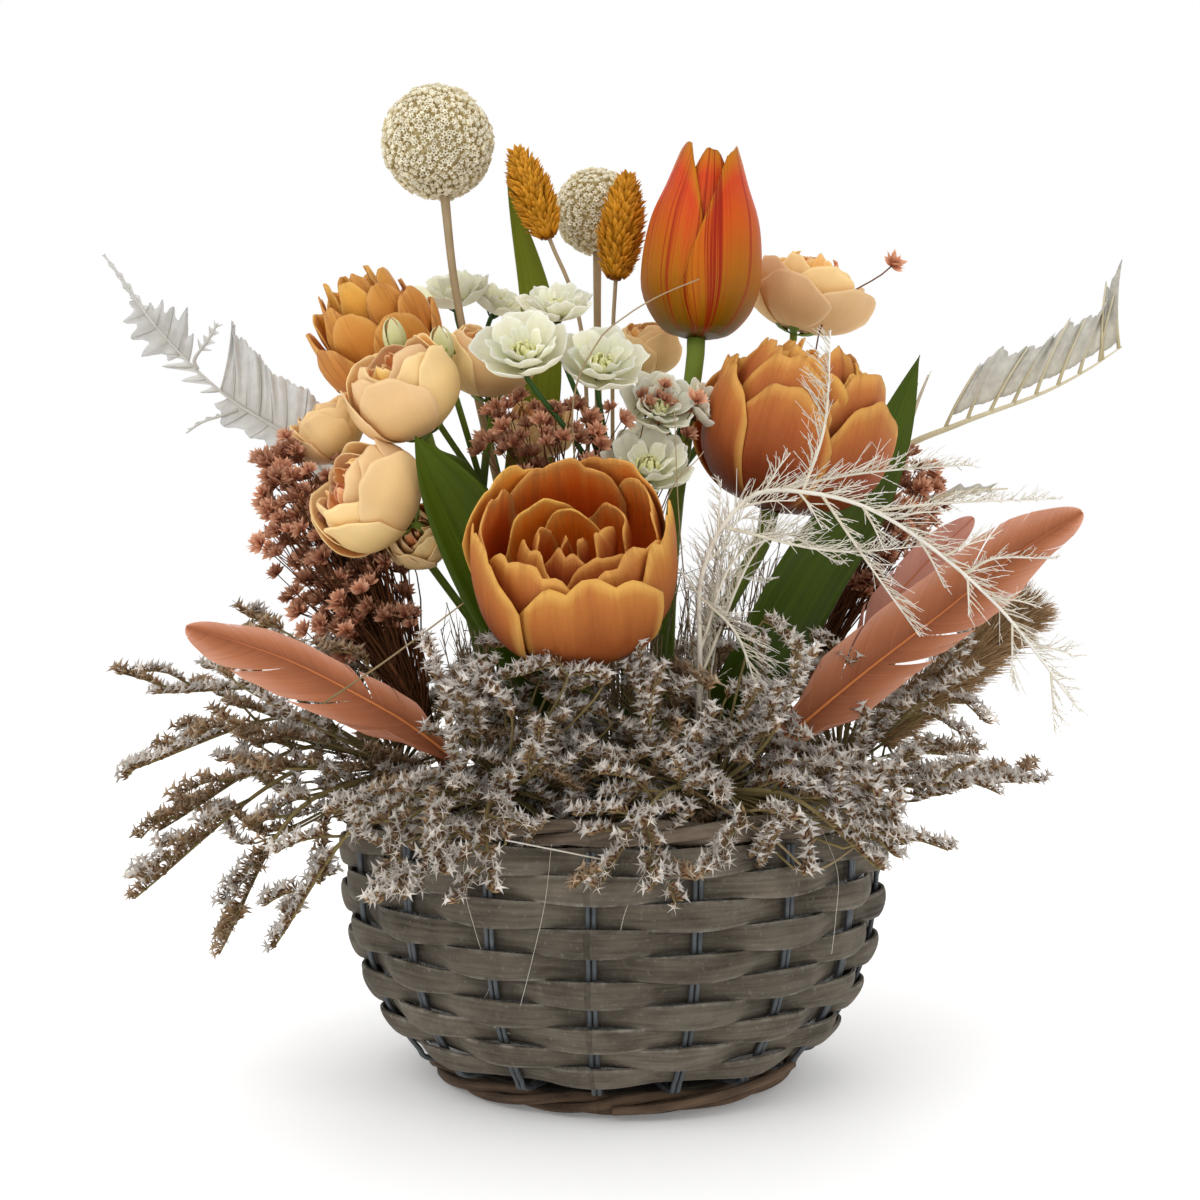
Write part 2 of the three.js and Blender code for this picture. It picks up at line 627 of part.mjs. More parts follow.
/** A bristly seed head: a slim core with scales that stand out and up from it. */
function addSeedHead(name, base, tip, radius, root, path, seed) {
  const draw = seeded(seed);
  const [low, high] = [vector(base), vector(tip)];
  const axis = high.clone().sub(low);
  const length = axis.length();
  const core = new THREE.SphereGeometry(1, 6, 6).rotateX(Math.PI / 2);
  core.scale(radius * 0.8, radius * 0.8, length / 2).translate(0, 0, length / 2);
  const solids = [solidFrom(stand(core, low, axis))];
  const scales = 10;
  for (let i = 0; i < scales; i += 1) {
    const along = 0.12 + (0.8 * i) / scales;
    const angle = i * 2.4 + draw() * 0.4;
    const out = new THREE.Vector3(Math.cos(angle), Math.sin(angle), 0);
    const grip = radius * 0.55 * Math.sin(Math.PI * along) ** 0.6;
    const at = low.clone().addScaledVector(axis, along).addScaledVector(out, grip);
    const lean = axis.clone().normalize().addScaledVector(out, 0.75);
    solids.push(needle(at, lean, radius * 0.85, radius * 0.22));
  }
  const points = [...rooted(root, path[0], STEM.fine), ...path, low.clone().addScaledVector(axis, 0.1).toArray()];
  solids.push(stem(points, STEM.fine, STEM.fine, 3, 6));
  addPiece(name, join(solids), LOOKS.phalaris);
}

/** A feather: a curved vane with nicks in its edge, on a quill that runs down into the foam. */
function addFeather(name, look, root, path, vane, half, facing) {
  const spine = new THREE.CatmullRomCurve3(vane.map(vector));
  const front = vector(facing).normalize();
  const rows = 7;
  const web = blade(2, rows, PETAL_THICK, (across, along) => {
    const middle = spine.getPointAt(along);
    const sideways = spine.getTangentAt(along).cross(front).normalize();
    const nick = Math.round(along * rows) % 3 === 1 ? 0.82 : 1;
    const wide = half * nick * Math.sin(Math.PI * (0.13 + 0.8 * along)) ** 0.7;
    const droop = -0.2 * wide * across * across;
    return middle.addScaledVector(sideways, across * wide).addScaledVector(front, droop);
  });
  const quill = [...rooted(root, path[0], STEM.quill), ...path, ...vane.slice(0, 2)];
  addPiece(name, join([web, stem(quill, STEM.quill, STEM.quill, 3, 6)]), look);
}

/** A flat frond: leaflets cut to the rib along one arched blade. */
function frond(points, half, facing, leaflets, lower) {
  const spine = new THREE.CatmullRomCurve3(points.map(vector));
  const front = vector(facing).normalize();
  const rows = leaflets * 2;
  return blade(2, rows, PETAL_THICK, (across, along) => {
    const row = Math.round(along * rows);
    const sideways = spine.getTangentAt(along).cross(front).normalize();
    const side = across > 0 ? lower : 1;
    const full = half * side * Math.sin(Math.PI * (0.2 + 0.74 * along));
    const wide = row % 2 === 1 ? full : Math.min(full, 1.3);
    const slant = Math.min(1, along + (Math.abs(across) * 0.05 * wide) / half);
    return spine.getPointAt(slant).addScaledVector(sideways, across * wide);
  });
}

const FERNS = [
  { name: 'fern_left', root: [-56, 14], path: [[-74, 17, 130], [-98, 20, 185]],
    fronds: [{ points: [[-104, 21, 205], [-120, 23, 236], [-155, 27, 262], [-180, 28, 282], [-199, 29, 307]],
      half: 21, leaflets: 6, lower: 0.8 }] },
  { name: 'fern_right', root: [56, 32], path: [[70, 36, 140], [92, 39, 190]],
    fronds: [{ points: [[98, 39, 205], [113, 39, 232], [150, 37, 250], [178, 35, 264], [201, 34, 276]],
      half: 20, leaflets: 6, lower: 0.3 },
    { points: [[92, 39, 190], [112, 38, 205], [134, 36, 214], [156, 34, 216]], half: 7, leaflets: 3, lower: 0.8 }] },
];

function addFern({ name, root, path, fronds }) {
  const trunk = [...rooted(root, path[0], STEM.dried), ...path, ...fronds[0].points.slice(0, 2)];
  const solids = [stem(trunk, STEM.dried, STEM.fine, 3, 5)];
  fronds.forEach(({ points, half, leaflets, lower }) => {
    solids.push(frond(points, half, [0, -1, 0.1], leaflets, lower));
  });
  addPiece(name, join(solids), LOOKS.fern);
}

/** Needles along a stem, even on all sides; one that would touch a neighbour is left out. */
function bristles(points, steps, count, length, radius, seed, start = 0.1) {
  const draw = seeded(seed);
  const spine = new THREE.CatmullRomCurve3(points.map(vector));
  const solids = [];
  for (let i = 0; i < count; i += 1) {
    const along = start + ((1 - start) * (i + 0.5)) / count;
    const ahead = spine.getTangentAt(along);
    const side = new THREE.Vector3(0, 0, 1).cross(ahead).normalize();
    const up = ahead.clone().cross(side);
    const angle = i * 2.4 + draw();
    const lean = side.multiplyScalar(Math.cos(angle)).addScaledVector(up, Math.sin(angle));
    lean.addScaledVector(ahead, 0.9);
    const one = needle(stemPoint(points, steps, along), lean, length * (0.7 + 0.5 * draw()), radius);
    if (isClear(one) && !solids.some((other) => touches(one, other))) {
      solids.push(one);
    }
  }
  return solids;
}

function addGrass() {
  const arch = [[28, -68, 150], [29, -71, 182], [42, -78, 204], [60, -79, 207], [88, -76, 199], [124, -70, 172],
    [155, -64, 135]];
  const foot = [28, -58, 120];
  const trunk = [...rooted([30, -50], foot, STEM.dried), foot, ...arch];
  const steps = 10;
  const rise = [stemPoint(trunk, steps, 0.6).toArray(), [69, -71, 230], [72, -63, 262]];
  const fall = [stemPoint(trunk, steps, 0.42).toArray(), [40, -77, 160], [47, -80, 138]];
  const solids = [
    stem(trunk, STEM.dried, 0.8, 3, steps),
    stem(rise, 0.9, 0.6, 3, 2),
    stem(fall, 0.9, 0.6, 3, 2),
    ...bristles(trunk, steps, 10, 22, 0.7, 11, 0.45),
    ...bristles(rise, 2, 3, 14, 0.6, 12, 0.3),
    ...bristles(fall, 2, 3, 13, 0.6, 13, 0.3),
  ];
  addPiece('white_grass', join(solids), LOOKS.grass);
}

function addPlume() {
  const head = [[98, -8, 131], [118, -6, 146], [138, -3, 159], [157, 0, 171]];
  const foot = [76, -6, 112];
  const core = stem(head, 4.5, 2, 5, 4);
  const stalk = stem([...rooted([62, -2], foot, STEM.dried), foot, head[0]], STEM.dried, STEM.dried, 4, 4);
  addPiece('brown_plume', join([core, stalk, ...bristles(head, 4, 13, 9, 1.2, 21, 0)]), LOOKS.plume);
}

// ---------------------------------------------------------------- star-flowers

/** A bunch of star-flowers: thin stems that leave one neck in turn, the lowest first, a head on each. */
function addStarBunch(name, root, neck, tips) {
  const trunk = [...rooted(root, neck[0], STEM.dried), ...neck];
  const steps = 4;
  const solids = [stem(trunk, STEM.dried, STEM.dried, 4, steps)];
  const heads = [];
  tips.forEach((tip, i) => {
    const fork = stemPoint(trunk, steps, 0.7 + (0.29 * i) / tips.length).toArray();
    const middle = tip.map((value, axis) => (value + fork[axis]) / 2 + (axis === 2 ? 4 : 0));
    const one = floret([fork, middle, tip], 0.8, 4.3, 4.5, 3);
    const head = floret([middle, tip], 0.9, 4.7, 4.5, 3);
    if (isClear(one) && !heads.some((other) => touches(head, other))) {
      solids.push(one);
      heads.push(one);
    }
  });
  addPiece(name, join(solids), LOOKS.starflower);
}

/** Places for a bunch's heads, spread evenly through a box with a seeded draw. */
function spreadTips(count, low, high, seed) {
  const draw = seeded(seed);
  const tip = (i) => low.map((value, axis) => {
    const share = axis === 2 ? (i + 0.5) / count : draw();
    return value + (high[axis] - value) * share;
  });
  return Array.from({ length: count }, (_, i) => tip(i));
}

// ---------------------------------------------------------------- sea lavender

const SPRAYS = [
  { name: 'sea_lavender_left', root: [-66, -20], fork: [-76, -26, 112], seed: 31,
    arms: [[[-112, -22, 124], [-176, -16, 107]], [[-106, -50, 104], [-160, -52, 72]], [[-100, -30, 140], [-128, -36, 162]],
      [[-98, 0, 116], [-128, 14, 120]]] },
  { name: 'sea_lavender_front_left', root: [-30, -64], fork: [-36, -74, 110], seed: 37,
    arms: [[[-78, -86, 104], [-112, -72, 58]], [[-50, -96, 110], [-60, -110, 84]], [[-46, -86, 128], [-56, -92, 148]],
      [[-28, -94, 116], [-22, -106, 124]]] },
  { name: 'sea_lavender_front_right', root: [30, -66], fork: [32, -74, 110], seed: 41,
    arms: [[[14, -102, 112], [-6, -112, 84]], [[56, -96, 110], [84, -86, 86]], [[48, -84, 126], [60, -90, 150]],
      [[14, -88, 122], [8, -92, 142]]] },
  { name: 'sea_lavender_right', root: [74, -24], fork: [80, -26, 110], seed: 43,
    arms: [[[112, -36, 108], [152, -30, 108]], [[104, -30, 132], [124, -34, 154]], [[98, -62, 110], [112, -74, 112]],
      [[108, 8, 114], [130, 24, 112]]] },
  { name: 'sea_lavender_back', root: [0, 66], fork: [0, 72, 112], seed: 47,
    arms: [[[-46, 90, 116], [-88, 92, 96]], [[-18, 92, 128], [-30, 106, 150]], [[44, 92, 114], [84, 92, 100]],
      [[16, 88, 130], [28, 100, 152]]] },
];

/** A spray of sea lavender: arms from one fork, with stalked florets along and at the end of each. */
function addSpray({ name, root, fork, arms, seed }) {
  const draw = seeded(seed);
  const trunk = [...rooted(root, fork, STEM.dried), fork];
  const solids = [stem(trunk, STEM.dried, STEM.dried, 3, 2)];
  const florets = [];
  const steps = 3;
  arms.forEach((arm) => {
    const points = [fork, ...arm];
    const spine = new THREE.CatmullRomCurve3(points.map(vector));
    solids.push(stem(points, 1.3, 0.8, 3, steps));
    for (let i = 0; i < FLORETS_PER_ARM; i += 1) {
      const along = 1 - (0.62 * i) / FLORETS_PER_ARM;
      const base = stemPoint(points, steps, along - 0.02);
      const lean = new THREE.Vector3(draw() - 0.5, draw() - 0.5, draw() - 0.15).normalize().multiplyScalar(0.9);
      lean.add(spine.getTangentAt(along)).normalize();
      const tip = base.clone().addScaledVector(lean, 13 - 5 * along + 3 * draw());
      const one = floret([base.toArray(), tip.toArray()], 0.7, 4.6, 9, 3);
      if (isClear(one) && !florets.some((other) => touches(one, other))) {
        florets.push(one);
      }
    }
  });
  addPiece(name, join([...solids, ...florets]), LOOKS.statice);
}

// ---------------------------------------------------------------- assembly

addPiece('wire_frame', wireFrame(), LOOKS.wire, null, basket);
for (let i = 0; i < SPLINTS.rows; i += 1) {
  addPiece(`splint_row_${String(i + 1).padStart(2, '0')}`, splintRow(i), LOOKS.splint, null, basket);
}
addPiece('rim_braid', twistedRing(RIM), LOOKS.cane, null, basket);
addPiece('foot_braid', twistedRing(FOOT), LOOKS.foot, null, basket);
const floorOutline = [[0, 0], [FLOOR.radius, 0], [FLOOR.radius, FLOOR.thick], [0, FLOOR.thick]];
addPiece('basket_floor', solidFrom(turned(floorOutline, FLOOR.segments)), LOOKS.floor, null, basket);
addPiece('film_liner', linerCup(), LOOKS.liner, null, basket);

TULIPS.forEach(addTulip);
addBranch('rose_stem_left', ROSE, LOOKS.rose, STEM.rose, ROSES_LEFT);
addBranch('rose_stem_right', ROSE, LOOKS.rose, STEM.rose, ROSES_RIGHT);
addBranch('white_stem_front', WHITE_BLOSSOM, LOOKS.white, STEM.white, WHITES_FRONT);
addBranch('white_stem_back', WHITE_BLOSSOM, LOOKS.white, STEM.white, WHITES_BACK);

addGlobe('globe_flower_tall', 20, [-66.6, 12, 346], [-17, 6], [[-36, 8, 190], [-55, 10, 280]], 2);
addGlobe('globe_flower_short', 16, [-6, 50, 329], [-4, 40], [[-5, 46, 200], [-6, 48, 283]], 2);
addSeedHead('seed_head_left', [-24, 5, 308], [-37, 5, 342], 8.5, [-7, 10], [[-9, 10, 200], [-12, 9, 274]], 3);
addSeedHead('seed_head_right', [1, 18, 295], [6, 18, 337], 9.5, [0, 20], [[0, 20, 200], [0, 20, 270]], 5);

addFeather('feather_left', LOOKS.feather, [-36, -46], [[-44, -57, 105]],
  [[-52, -66, 114], [-72, -72, 128], [-94, -76, 141], [-118, -76, 154], [-140, -74, 162]], 11, [0.1, -1, 0.35]);
addFeather('feather_right', LOOKS.feather, [40, -36], [[50, -44, 112]],
  [[62, -48, 124], [86, -52, 144], [112, -52, 164], [136, -51, 184], [160, -50, 201]], 12, [0.1, -1, 0.1]);
addFeather('feather_pale', LOOKS.blush, [56, -12], [[70, -15, 130]],
  [[84, -17, 150], [98, -17, 168], [114, -16, 186], [131, -15, 202]], 9, [0, -1, 0.2]);

FERNS.forEach(addFern);
addGrass();
addPlume();

const leftTips = spreadTips(13, [-130, -48, 166], [-100, -14, 236], 71);
const centreTips = spreadTips(14, [-48, -44, 212], [34, -22, 246], 53);
const rightTips = spreadTips(9, [102, 18, 188], [126, 30, 234], 61);
addStarBunch('star_flowers_left', [-52, -22], [[-62, -30, 118], [-78, -38, 150]], leftTips);
addStarBunch('star_flowers_centre', [-15, -30], [[-16, -30, 140], [-17, -28, 190]], centreTips);
addStarBunch('star_flowers_right', [52, 10], [[72, 20, 130], [90, 26, 170]], [[107, 30, 300], ...rightTips]);

SPRAYS.forEach(addSpray);
addPiece('dry_foam', foamBlock(), LOOKS.foam);

export default arrangement;
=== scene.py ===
"""The looks of a flower arrangement in a woven basket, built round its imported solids.

Lengths are millimetres until a form is built, and the finished pieces are in metres. Every vertex carries
four values that the finishes read: along (0 at a root, 1 at a tip), across (-1 to 1), tone (a draw for each
petal or floret) and inner (1 on the face that looks into a bloom).
"""

from __future__ import annotations

import logging
import math
from dataclasses import dataclass
from enum import Enum
from typing import Callable, Iterable, Sequence

import bpy
import numpy as np
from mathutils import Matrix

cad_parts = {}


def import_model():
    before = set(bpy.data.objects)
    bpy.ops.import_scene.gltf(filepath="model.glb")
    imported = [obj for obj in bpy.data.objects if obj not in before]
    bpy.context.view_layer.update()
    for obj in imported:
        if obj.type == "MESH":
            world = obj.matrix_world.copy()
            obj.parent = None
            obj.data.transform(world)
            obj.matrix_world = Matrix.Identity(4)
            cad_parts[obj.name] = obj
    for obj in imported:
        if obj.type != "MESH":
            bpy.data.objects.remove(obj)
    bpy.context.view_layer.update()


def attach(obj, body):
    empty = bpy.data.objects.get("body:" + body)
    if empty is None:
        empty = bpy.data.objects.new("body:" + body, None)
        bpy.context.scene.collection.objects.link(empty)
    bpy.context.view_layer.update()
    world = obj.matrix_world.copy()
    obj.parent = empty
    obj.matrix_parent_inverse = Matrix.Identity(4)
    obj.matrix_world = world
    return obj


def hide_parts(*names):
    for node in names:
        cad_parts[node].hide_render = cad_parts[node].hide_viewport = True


LOG = logging.getLogger("arrangement")
Array = np.ndarray
Colour = tuple[float, float, float]
Stops = tuple[tuple[float, Colour], ...]
Place = Sequence[float]
Path = tuple[Place, ...]
Draw = np.random.Generator
Socket = bpy.types.NodeSocket

MM = 0.001
TURN = 2.0 * math.pi
FOAM_TOP = 86.0
ROOT_DEPTH = 48.0
GOLDEN_TURN = 2.39996
BODY = "root"
UP = np.array([0.0, 0.0, 1.0])
ASKEW = (0.31, 0.87, 0.38)
SATIN, MATT, WAXED = 0.14, 0.1, 0.25
VALUES = ("along", "across", "tone", "inner")
PLAIN = np.array([0.5, 0.0, 0.5, 0.0])


# ---------------------------------------------------------------- lines and turns


def vector(place: Place) -> Array:
    """Give a place or a direction as floats."""
    return np.array(place, float)


def unit(vectors: Array) -> Array:
    """Scale vectors along the last axis to length one."""
    return vectors / np.maximum(np.linalg.norm(vectors, axis=-1, keepdims=True), 1e-9)


def steps(count: int) -> Array:
    """Give even shares from 0 to 1."""
    return np.linspace(0, 1, count)


class Line:
    """A smooth line through points, read by the share of its length."""

    def __init__(self, points: Iterable[Place], spans: int = 24) -> None:
        """Fit the line.

        Args:
            points: The points it goes through, in any number of dimensions.
            spans: How many short steps stand for each stretch between points.
        """
        knots = np.asarray(list(points), float)
        ends = np.vstack([2 * knots[0] - knots[1], knots, 2 * knots[-1] - knots[-2]])
        share = np.linspace(0, 1, spans, endpoint=False)[:, None]
        parts = []
        for a, b, c, d in zip(ends[:-3], ends[1:-2], ends[2:-1], ends[3:]):
            slope, bend = c - a, 2 * a - 5 * b + 4 * c - d
            rest = 3 * b - a - 3 * c + d
            parts.append(b + 0.5 * share * (slope + share * (bend + share * rest)))
        self.points = np.vstack([*parts, knots[-1:]])
        gaps = np.linalg.norm(np.diff(self.points, axis=0), axis=1)
        reach = np.concatenate([[0.0], np.cumsum(gaps)])
        self.length = float(reach[-1])
        self.reach = reach / self.length

    def at(self, share: Array | float) -> Array:
        """Give the points at these shares of the length."""
        share = np.asarray(share, float)
        return np.stack([np.interp(share, self.reach, axis) for axis in self.points.T], axis=-1)

    def even(self, count: int) -> Array:
        """Give points at even shares of the length."""
        return self.at(steps(count))

    def ahead(self, share: Array | float) -> Array:
        """Give the unit directions of travel at these shares of the length."""
        share = np.clip(np.asarray(share, float), 0.004, 0.996)
        return unit(self.at(share + 0.004) - self.at(share - 0.004))


def stem_line(root: Place, points: Sequence[Place]) -> Line:
    """Give a stem's line from its hole in the foam up through its free points.

    Args:
        root: Where it leaves the foam's top.
        points: Its free points; the hole runs on the line to the first.

    Returns:
        The line.
    """
    (x, y), first = root, points[0]
    rise = first[2] - FOAM_TOP
    depths = [(z - FOAM_TOP) / rise for z in (ROOT_DEPTH, FOAM_TOP)]
    inside = [[x + (first[0] - x) * s, y + (first[1] - y) * s, FOAM_TOP + rise * s] for s in depths]
    return Line([*inside, *points])


def square_to(axes: Array, spins: Array | float = 0.0) -> Array:
    """Build turns that carry +Z to each axis.

    Args:
        axes: One axis or many, along the last array axis.
        spins: How far each one is turned about its own axis first.

    Returns:
        Matrices whose columns are the turned X, Y and Z.
    """
    z = unit(np.asarray(axes, float))
    aside = np.where(np.abs(z[..., 2:]) < 0.99, UP, np.array([0.0, -1.0, 0.0]))
    x = unit(np.cross(aside, z))
    y = np.cross(z, x)
    cos, sin = np.cos(spins)[..., None], np.sin(spins)[..., None]
    return np.stack([x * cos + y * sin, y * cos - x * sin, z], axis=-1)


# ---------------------------------------------------------------- forms


def readings(along: Array | float, across: Array | float, tone: Array | float = 0.5) -> Array:
    """Give each vertex its four values; inner is 0."""
    return np.stack(np.broadcast_arrays(along, across, tone, 0.0), axis=-1)


def quads(number: Array, ring: bool = False) -> Array:
    """Join grids of vertex numbers into quads.

    Args:
        number: Vertex numbers, as rows by columns in the last two axes.
        ring: Whether the last column joins the first.

    Returns:
        The quads, one to a row.
    """
    left = number if ring else number[..., :-1]
    right = np.roll(number, -1, axis=-1) if ring else number[..., 1:]
    corners = [left[..., :-1, :], right[..., :-1, :], right[..., 1:, :], left[..., 1:, :]]
    return np.stack(corners, axis=-1).reshape(-1, 4)


class Form:
    """A mesh in the making, with the values that its finish reads."""

    def __init__(self) -> None:
        """Start empty."""
        self.points: list[Array] = []
        self.values: list[Array] = []
        self.faces: list[tuple[Array, int]] = []
        self.count = 0

    def add(self, points: Array, faces: Array, values: Array, slot: int = 0) -> None:
        """Add a patch.

        Args:
            points: Its vertices.
            faces: Its faces, all triangles or all quads, by vertex number in the patch.
            values: Four values for each vertex.
            slot: The material slot of its faces.
        """
        points = points.reshape(-1, 3)
        self.points.append(points)
        self.values.append(np.broadcast_to(values, (len(points), 4)))
        self.faces.append((np.asarray(faces) + self.count, slot))
        self.count += len(points)

    def join(self, other: Form, slot: int | None = None) -> None:
        """Take in all of another form.

        Args:
            other: The form.
            slot: One material slot for all of it, or nothing to keep its own.
        """
        start = self.count
        self.points += other.points
        self.values += other.values
        self.faces += [(faces + start, own if slot is None else slot) for faces, own in other.faces]
        self.count += other.count

    def moved(self, turn: Array, at: Place, size: float = 1.0) -> Form:
        """Give a copy that is scaled, turned and moved.

        Args:
            turn: The turn, as a matrix.
            at: Where its origin goes.
            size: Its scale.

        Returns:
            The copy.
        """
        copy = Form()
        copy.join(self)
        copy.points = [points * size @ turn.T + vector(at) for points in self.points]
        return copy

    def sheet(self, points: Array, values: Array, thick: Array | float = 0.0, slot: int = 0,
              ring: bool = False) -> None:
        """Add a grid of quads, with a back and edges where it has a thickness.

        Args:
            points: Vertices as rows by columns by three.
            values: Four values for each vertex.
            thick: Thickness, for all or for each vertex.
            slot: The material slot.
            ring: Whether the last column joins the first.
        """
        rows, columns = points.shape[:2]
        number = np.arange(rows * columns).reshape(rows, columns)
        front = quads(number, ring)
        values = np.broadcast_to(values, (rows, columns, 4))
        if np.ndim(thick) == 0 and thick == 0.0:
            self.add(points, front, values.reshape(-1, 4), slot)
            return
        step = np.roll(points, -1, 1) - np.roll(points, 1, 1) if ring else np.gradient(points, axis=1)
        normal = unit(np.cross(step, np.gradient(points, axis=0)))
        half = np.broadcast_to(np.asarray(thick, float), (rows, columns))[..., None] / 2
        back_values = values.copy()
        back_values[..., 3] = 1.0
        total = rows * columns
        rims = [(number[0], False), (number[-1], True)]
        if not ring:
            rims += [(number[:, 0], True), (number[:, -1], False)]
        edges = []
        for rim, flip in rims:
            after = np.roll(rim, -1) if ring else rim[1:]
            before = rim if ring else rim[:-1]
            pair = (after, before) if flip else (before, after)
            edges.append(np.stack([pair[0] + total, pair[1] + total, pair[1], pair[0]], axis=-1))
        faces = np.vstack([front, front[:, ::-1] + total, *edges])
        both = np.concatenate([(points + side * normal * half).reshape(-1, 3) for side in (1, -1)])
        self.add(both, faces, np.concatenate([values.reshape(-1, 4), back_values.reshape(-1, 4)]), slot)

    def tube(self, path: Array, radii: Array | float, sides: int = 6, tone: float = 0.5, slot: int = 0,
             end: float = 1.0) -> None:
        """Add a closed tube along a path.

        Args:
            path: The points of its middle line.
            radii: Its radius, for all or for each point.
            sides: How many sides it has.
            tone: Its draw.
            slot: The material slot.
            end: What along comes to at its end.
        """
        path = np.asarray(path, float)
        count = len(path)
        ahead = unit(np.gradient(path, axis=0))
        side = np.empty_like(path)
        side[0] = np.cross(ahead[0], ASKEW)
        for i in range(1, count):
            side[i] = side[i - 1] - ahead[i] * (side[i - 1] @ ahead[i])
        side = unit(side)
        other = np.cross(ahead, side)
        around = np.arange(sides) * TURN / sides
        ring = side[:, None] * np.cos(around)[:, None] + other[:, None] * np.sin(around)[:, None]
        radii = np.broadcast_to(np.asarray(radii, float), (count,))
        number = np.arange(count * sides).reshape(count, sides)
        values = readings(np.linspace(0.0, end, count)[:, None], np.cos(around), tone)
        start = self.count
        points = path[:, None] + ring * radii[:, None, None]
        self.add(points, quads(number, True), values.reshape(-1, 4), slot)
        for fan in (number[0][::-1], number[-1]):
            caps = np.stack([np.full(sides - 2, fan[0]), fan[1:-1], fan[2:]], axis=-1)
            self.faces.append((caps + start, slot))

    def hairs(self, paths: Array, radii: Array, tones: Array, slot: int = 0) -> None:
        """Add many thin three-sided hairs at once.

        Args:
            paths: Their middle lines as hairs by points by three.
            radii: Their radii as hairs by points, or for each point.
            tones: A draw for each hair.
            slot: The material slot.
        """
        count, rows = paths.shape[:2]
        ahead = unit(np.gradient(paths, axis=1))
        side = unit(np.cross(ahead, ASKEW))
        other = np.cross(ahead, side)
        around = np.arange(3) * TURN / 3
        ring = side[:, :, None] * np.cos(around)[:, None] + other[:, :, None] * np.sin(around)[:, None]
        points = paths[:, :, None] + ring * np.broadcast_to(radii, (count, rows))[..., None, None]
        values = readings(steps(rows)[:, None], np.zeros(3), np.asarray(tones)[:, None, None])
        number = np.arange(count * rows * 3).reshape(count, rows, 3)
        self.add(points, quads(number, True), values.reshape(-1, 4), slot)

    def ribbons(self, paths: Array, sides: Array, tones: Array, slot: int = 0) -> None:
        """Add many flat ribbons at once.

        Args:
            paths: Their middle lines as ribbons by points by three.
            sides: From the middle to one edge at each point.
            tones: A draw for each ribbon.
            slot: The material slot.
        """
        count, rows = paths.shape[:2]
        points = np.stack([paths - sides, paths + sides], axis=2)
        values = readings(steps(rows)[:, None], np.array([-1.0, 1.0]), np.asarray(tones)[:, None, None])
        number = np.arange(count * rows * 2).reshape(count, rows, 2)
        self.add(points, quads(number), values.reshape(-1, 4), slot)

    def scatter(self, shape: Form, turns: Array, places: Array, sizes: Array, tones: Array) -> None:
        """Add many copies of a small form.

        Args:
            shape: The form to copy, which keeps its own along, across and inner.
            turns: A turn for each copy.
            places: A place for each copy.
            sizes: A scale for each copy.
            tones: A draw for each copy.
        """
        copies = len(places)
        points = np.vstack(shape.points)
        values = np.tile(np.vstack(shape.values), (copies, 1))
        values[:, 2] = np.repeat(tones, len(points))
        moved = np.einsum("nij,pj->npi", turns * np.asarray(sizes)[:, None, None], points) + places[:, None]
        shift = (np.arange(copies) * len(points))[:, None, None] + self.count
        self.points.append(moved.reshape(-1, 3))
        self.values.append(values)
        self.count += len(values)
        for faces, slot in shape.faces:
            self.faces.append(((faces[None] + shift).reshape(-1, faces.shape[1]), slot))

    def build(self, name: str, finishes: Sequence[Finish], nodes: Sequence[str] = (), slot: str = "",
              crease: float | None = None) -> None:
        """Make the piece, dress it and tie it to the frame.

        Args:
            name: The piece's name.
            finishes: The finish of each material slot.
            nodes: The solids that it stands for.
            slot: The record's slot that the piece belongs to; not used.
            crease: The angle in degrees past which an edge stays sharp, or nothing to smooth all.
        """
        mesh = bpy.data.meshes.new(name)
        points = (np.vstack(self.points) * MM).astype(np.float32)
        mesh.vertices.add(len(points))
        mesh.vertices.foreach_set("co", points.ravel())
        corners = np.concatenate([faces.ravel() for faces, _ in self.faces])
        sizes = np.concatenate([np.full(len(faces), faces.shape[1]) for faces, _ in self.faces])
        slots = np.concatenate([np.full(len(faces), own) for faces, own in self.faces])
        starts = np.concatenate([[0], np.cumsum(sizes)[:-1]])
        mesh.loops.add(len(corners))
        mesh.loops.foreach_set("vertex_index", corners.astype(np.int32))
        mesh.polygons.add(len(sizes))
        mesh.polygons.foreach_set("loop_start", starts.astype(np.int32))
        mesh.polygons.foreach_set("material_index", slots.astype(np.int32))
        values = np.vstack(self.values).astype(np.float32)
        for label, column in zip(VALUES, values.T):
            data = mesh.attributes.new(label, "FLOAT", "POINT").data
            data.foreach_set("value", np.ascontiguousarray(column))
        mesh.update(calc_edges=True)
        mesh.shade_smooth()
        if crease is not None:
            mesh.set_sharp_from_angle(angle=math.radians(crease))
        for finish in finishes:
            mesh.materials.append(finish.material())
        piece = bpy.data.objects.new(name, mesh)
        bpy.context.scene.collection.objects.link(piece)
        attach(piece, BODY)
        if nodes:
            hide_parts(*nodes)
        LOG.info("%s: %d faces", name, len(mesh.polygons))


# ---------------------------------------------------------------- finishes


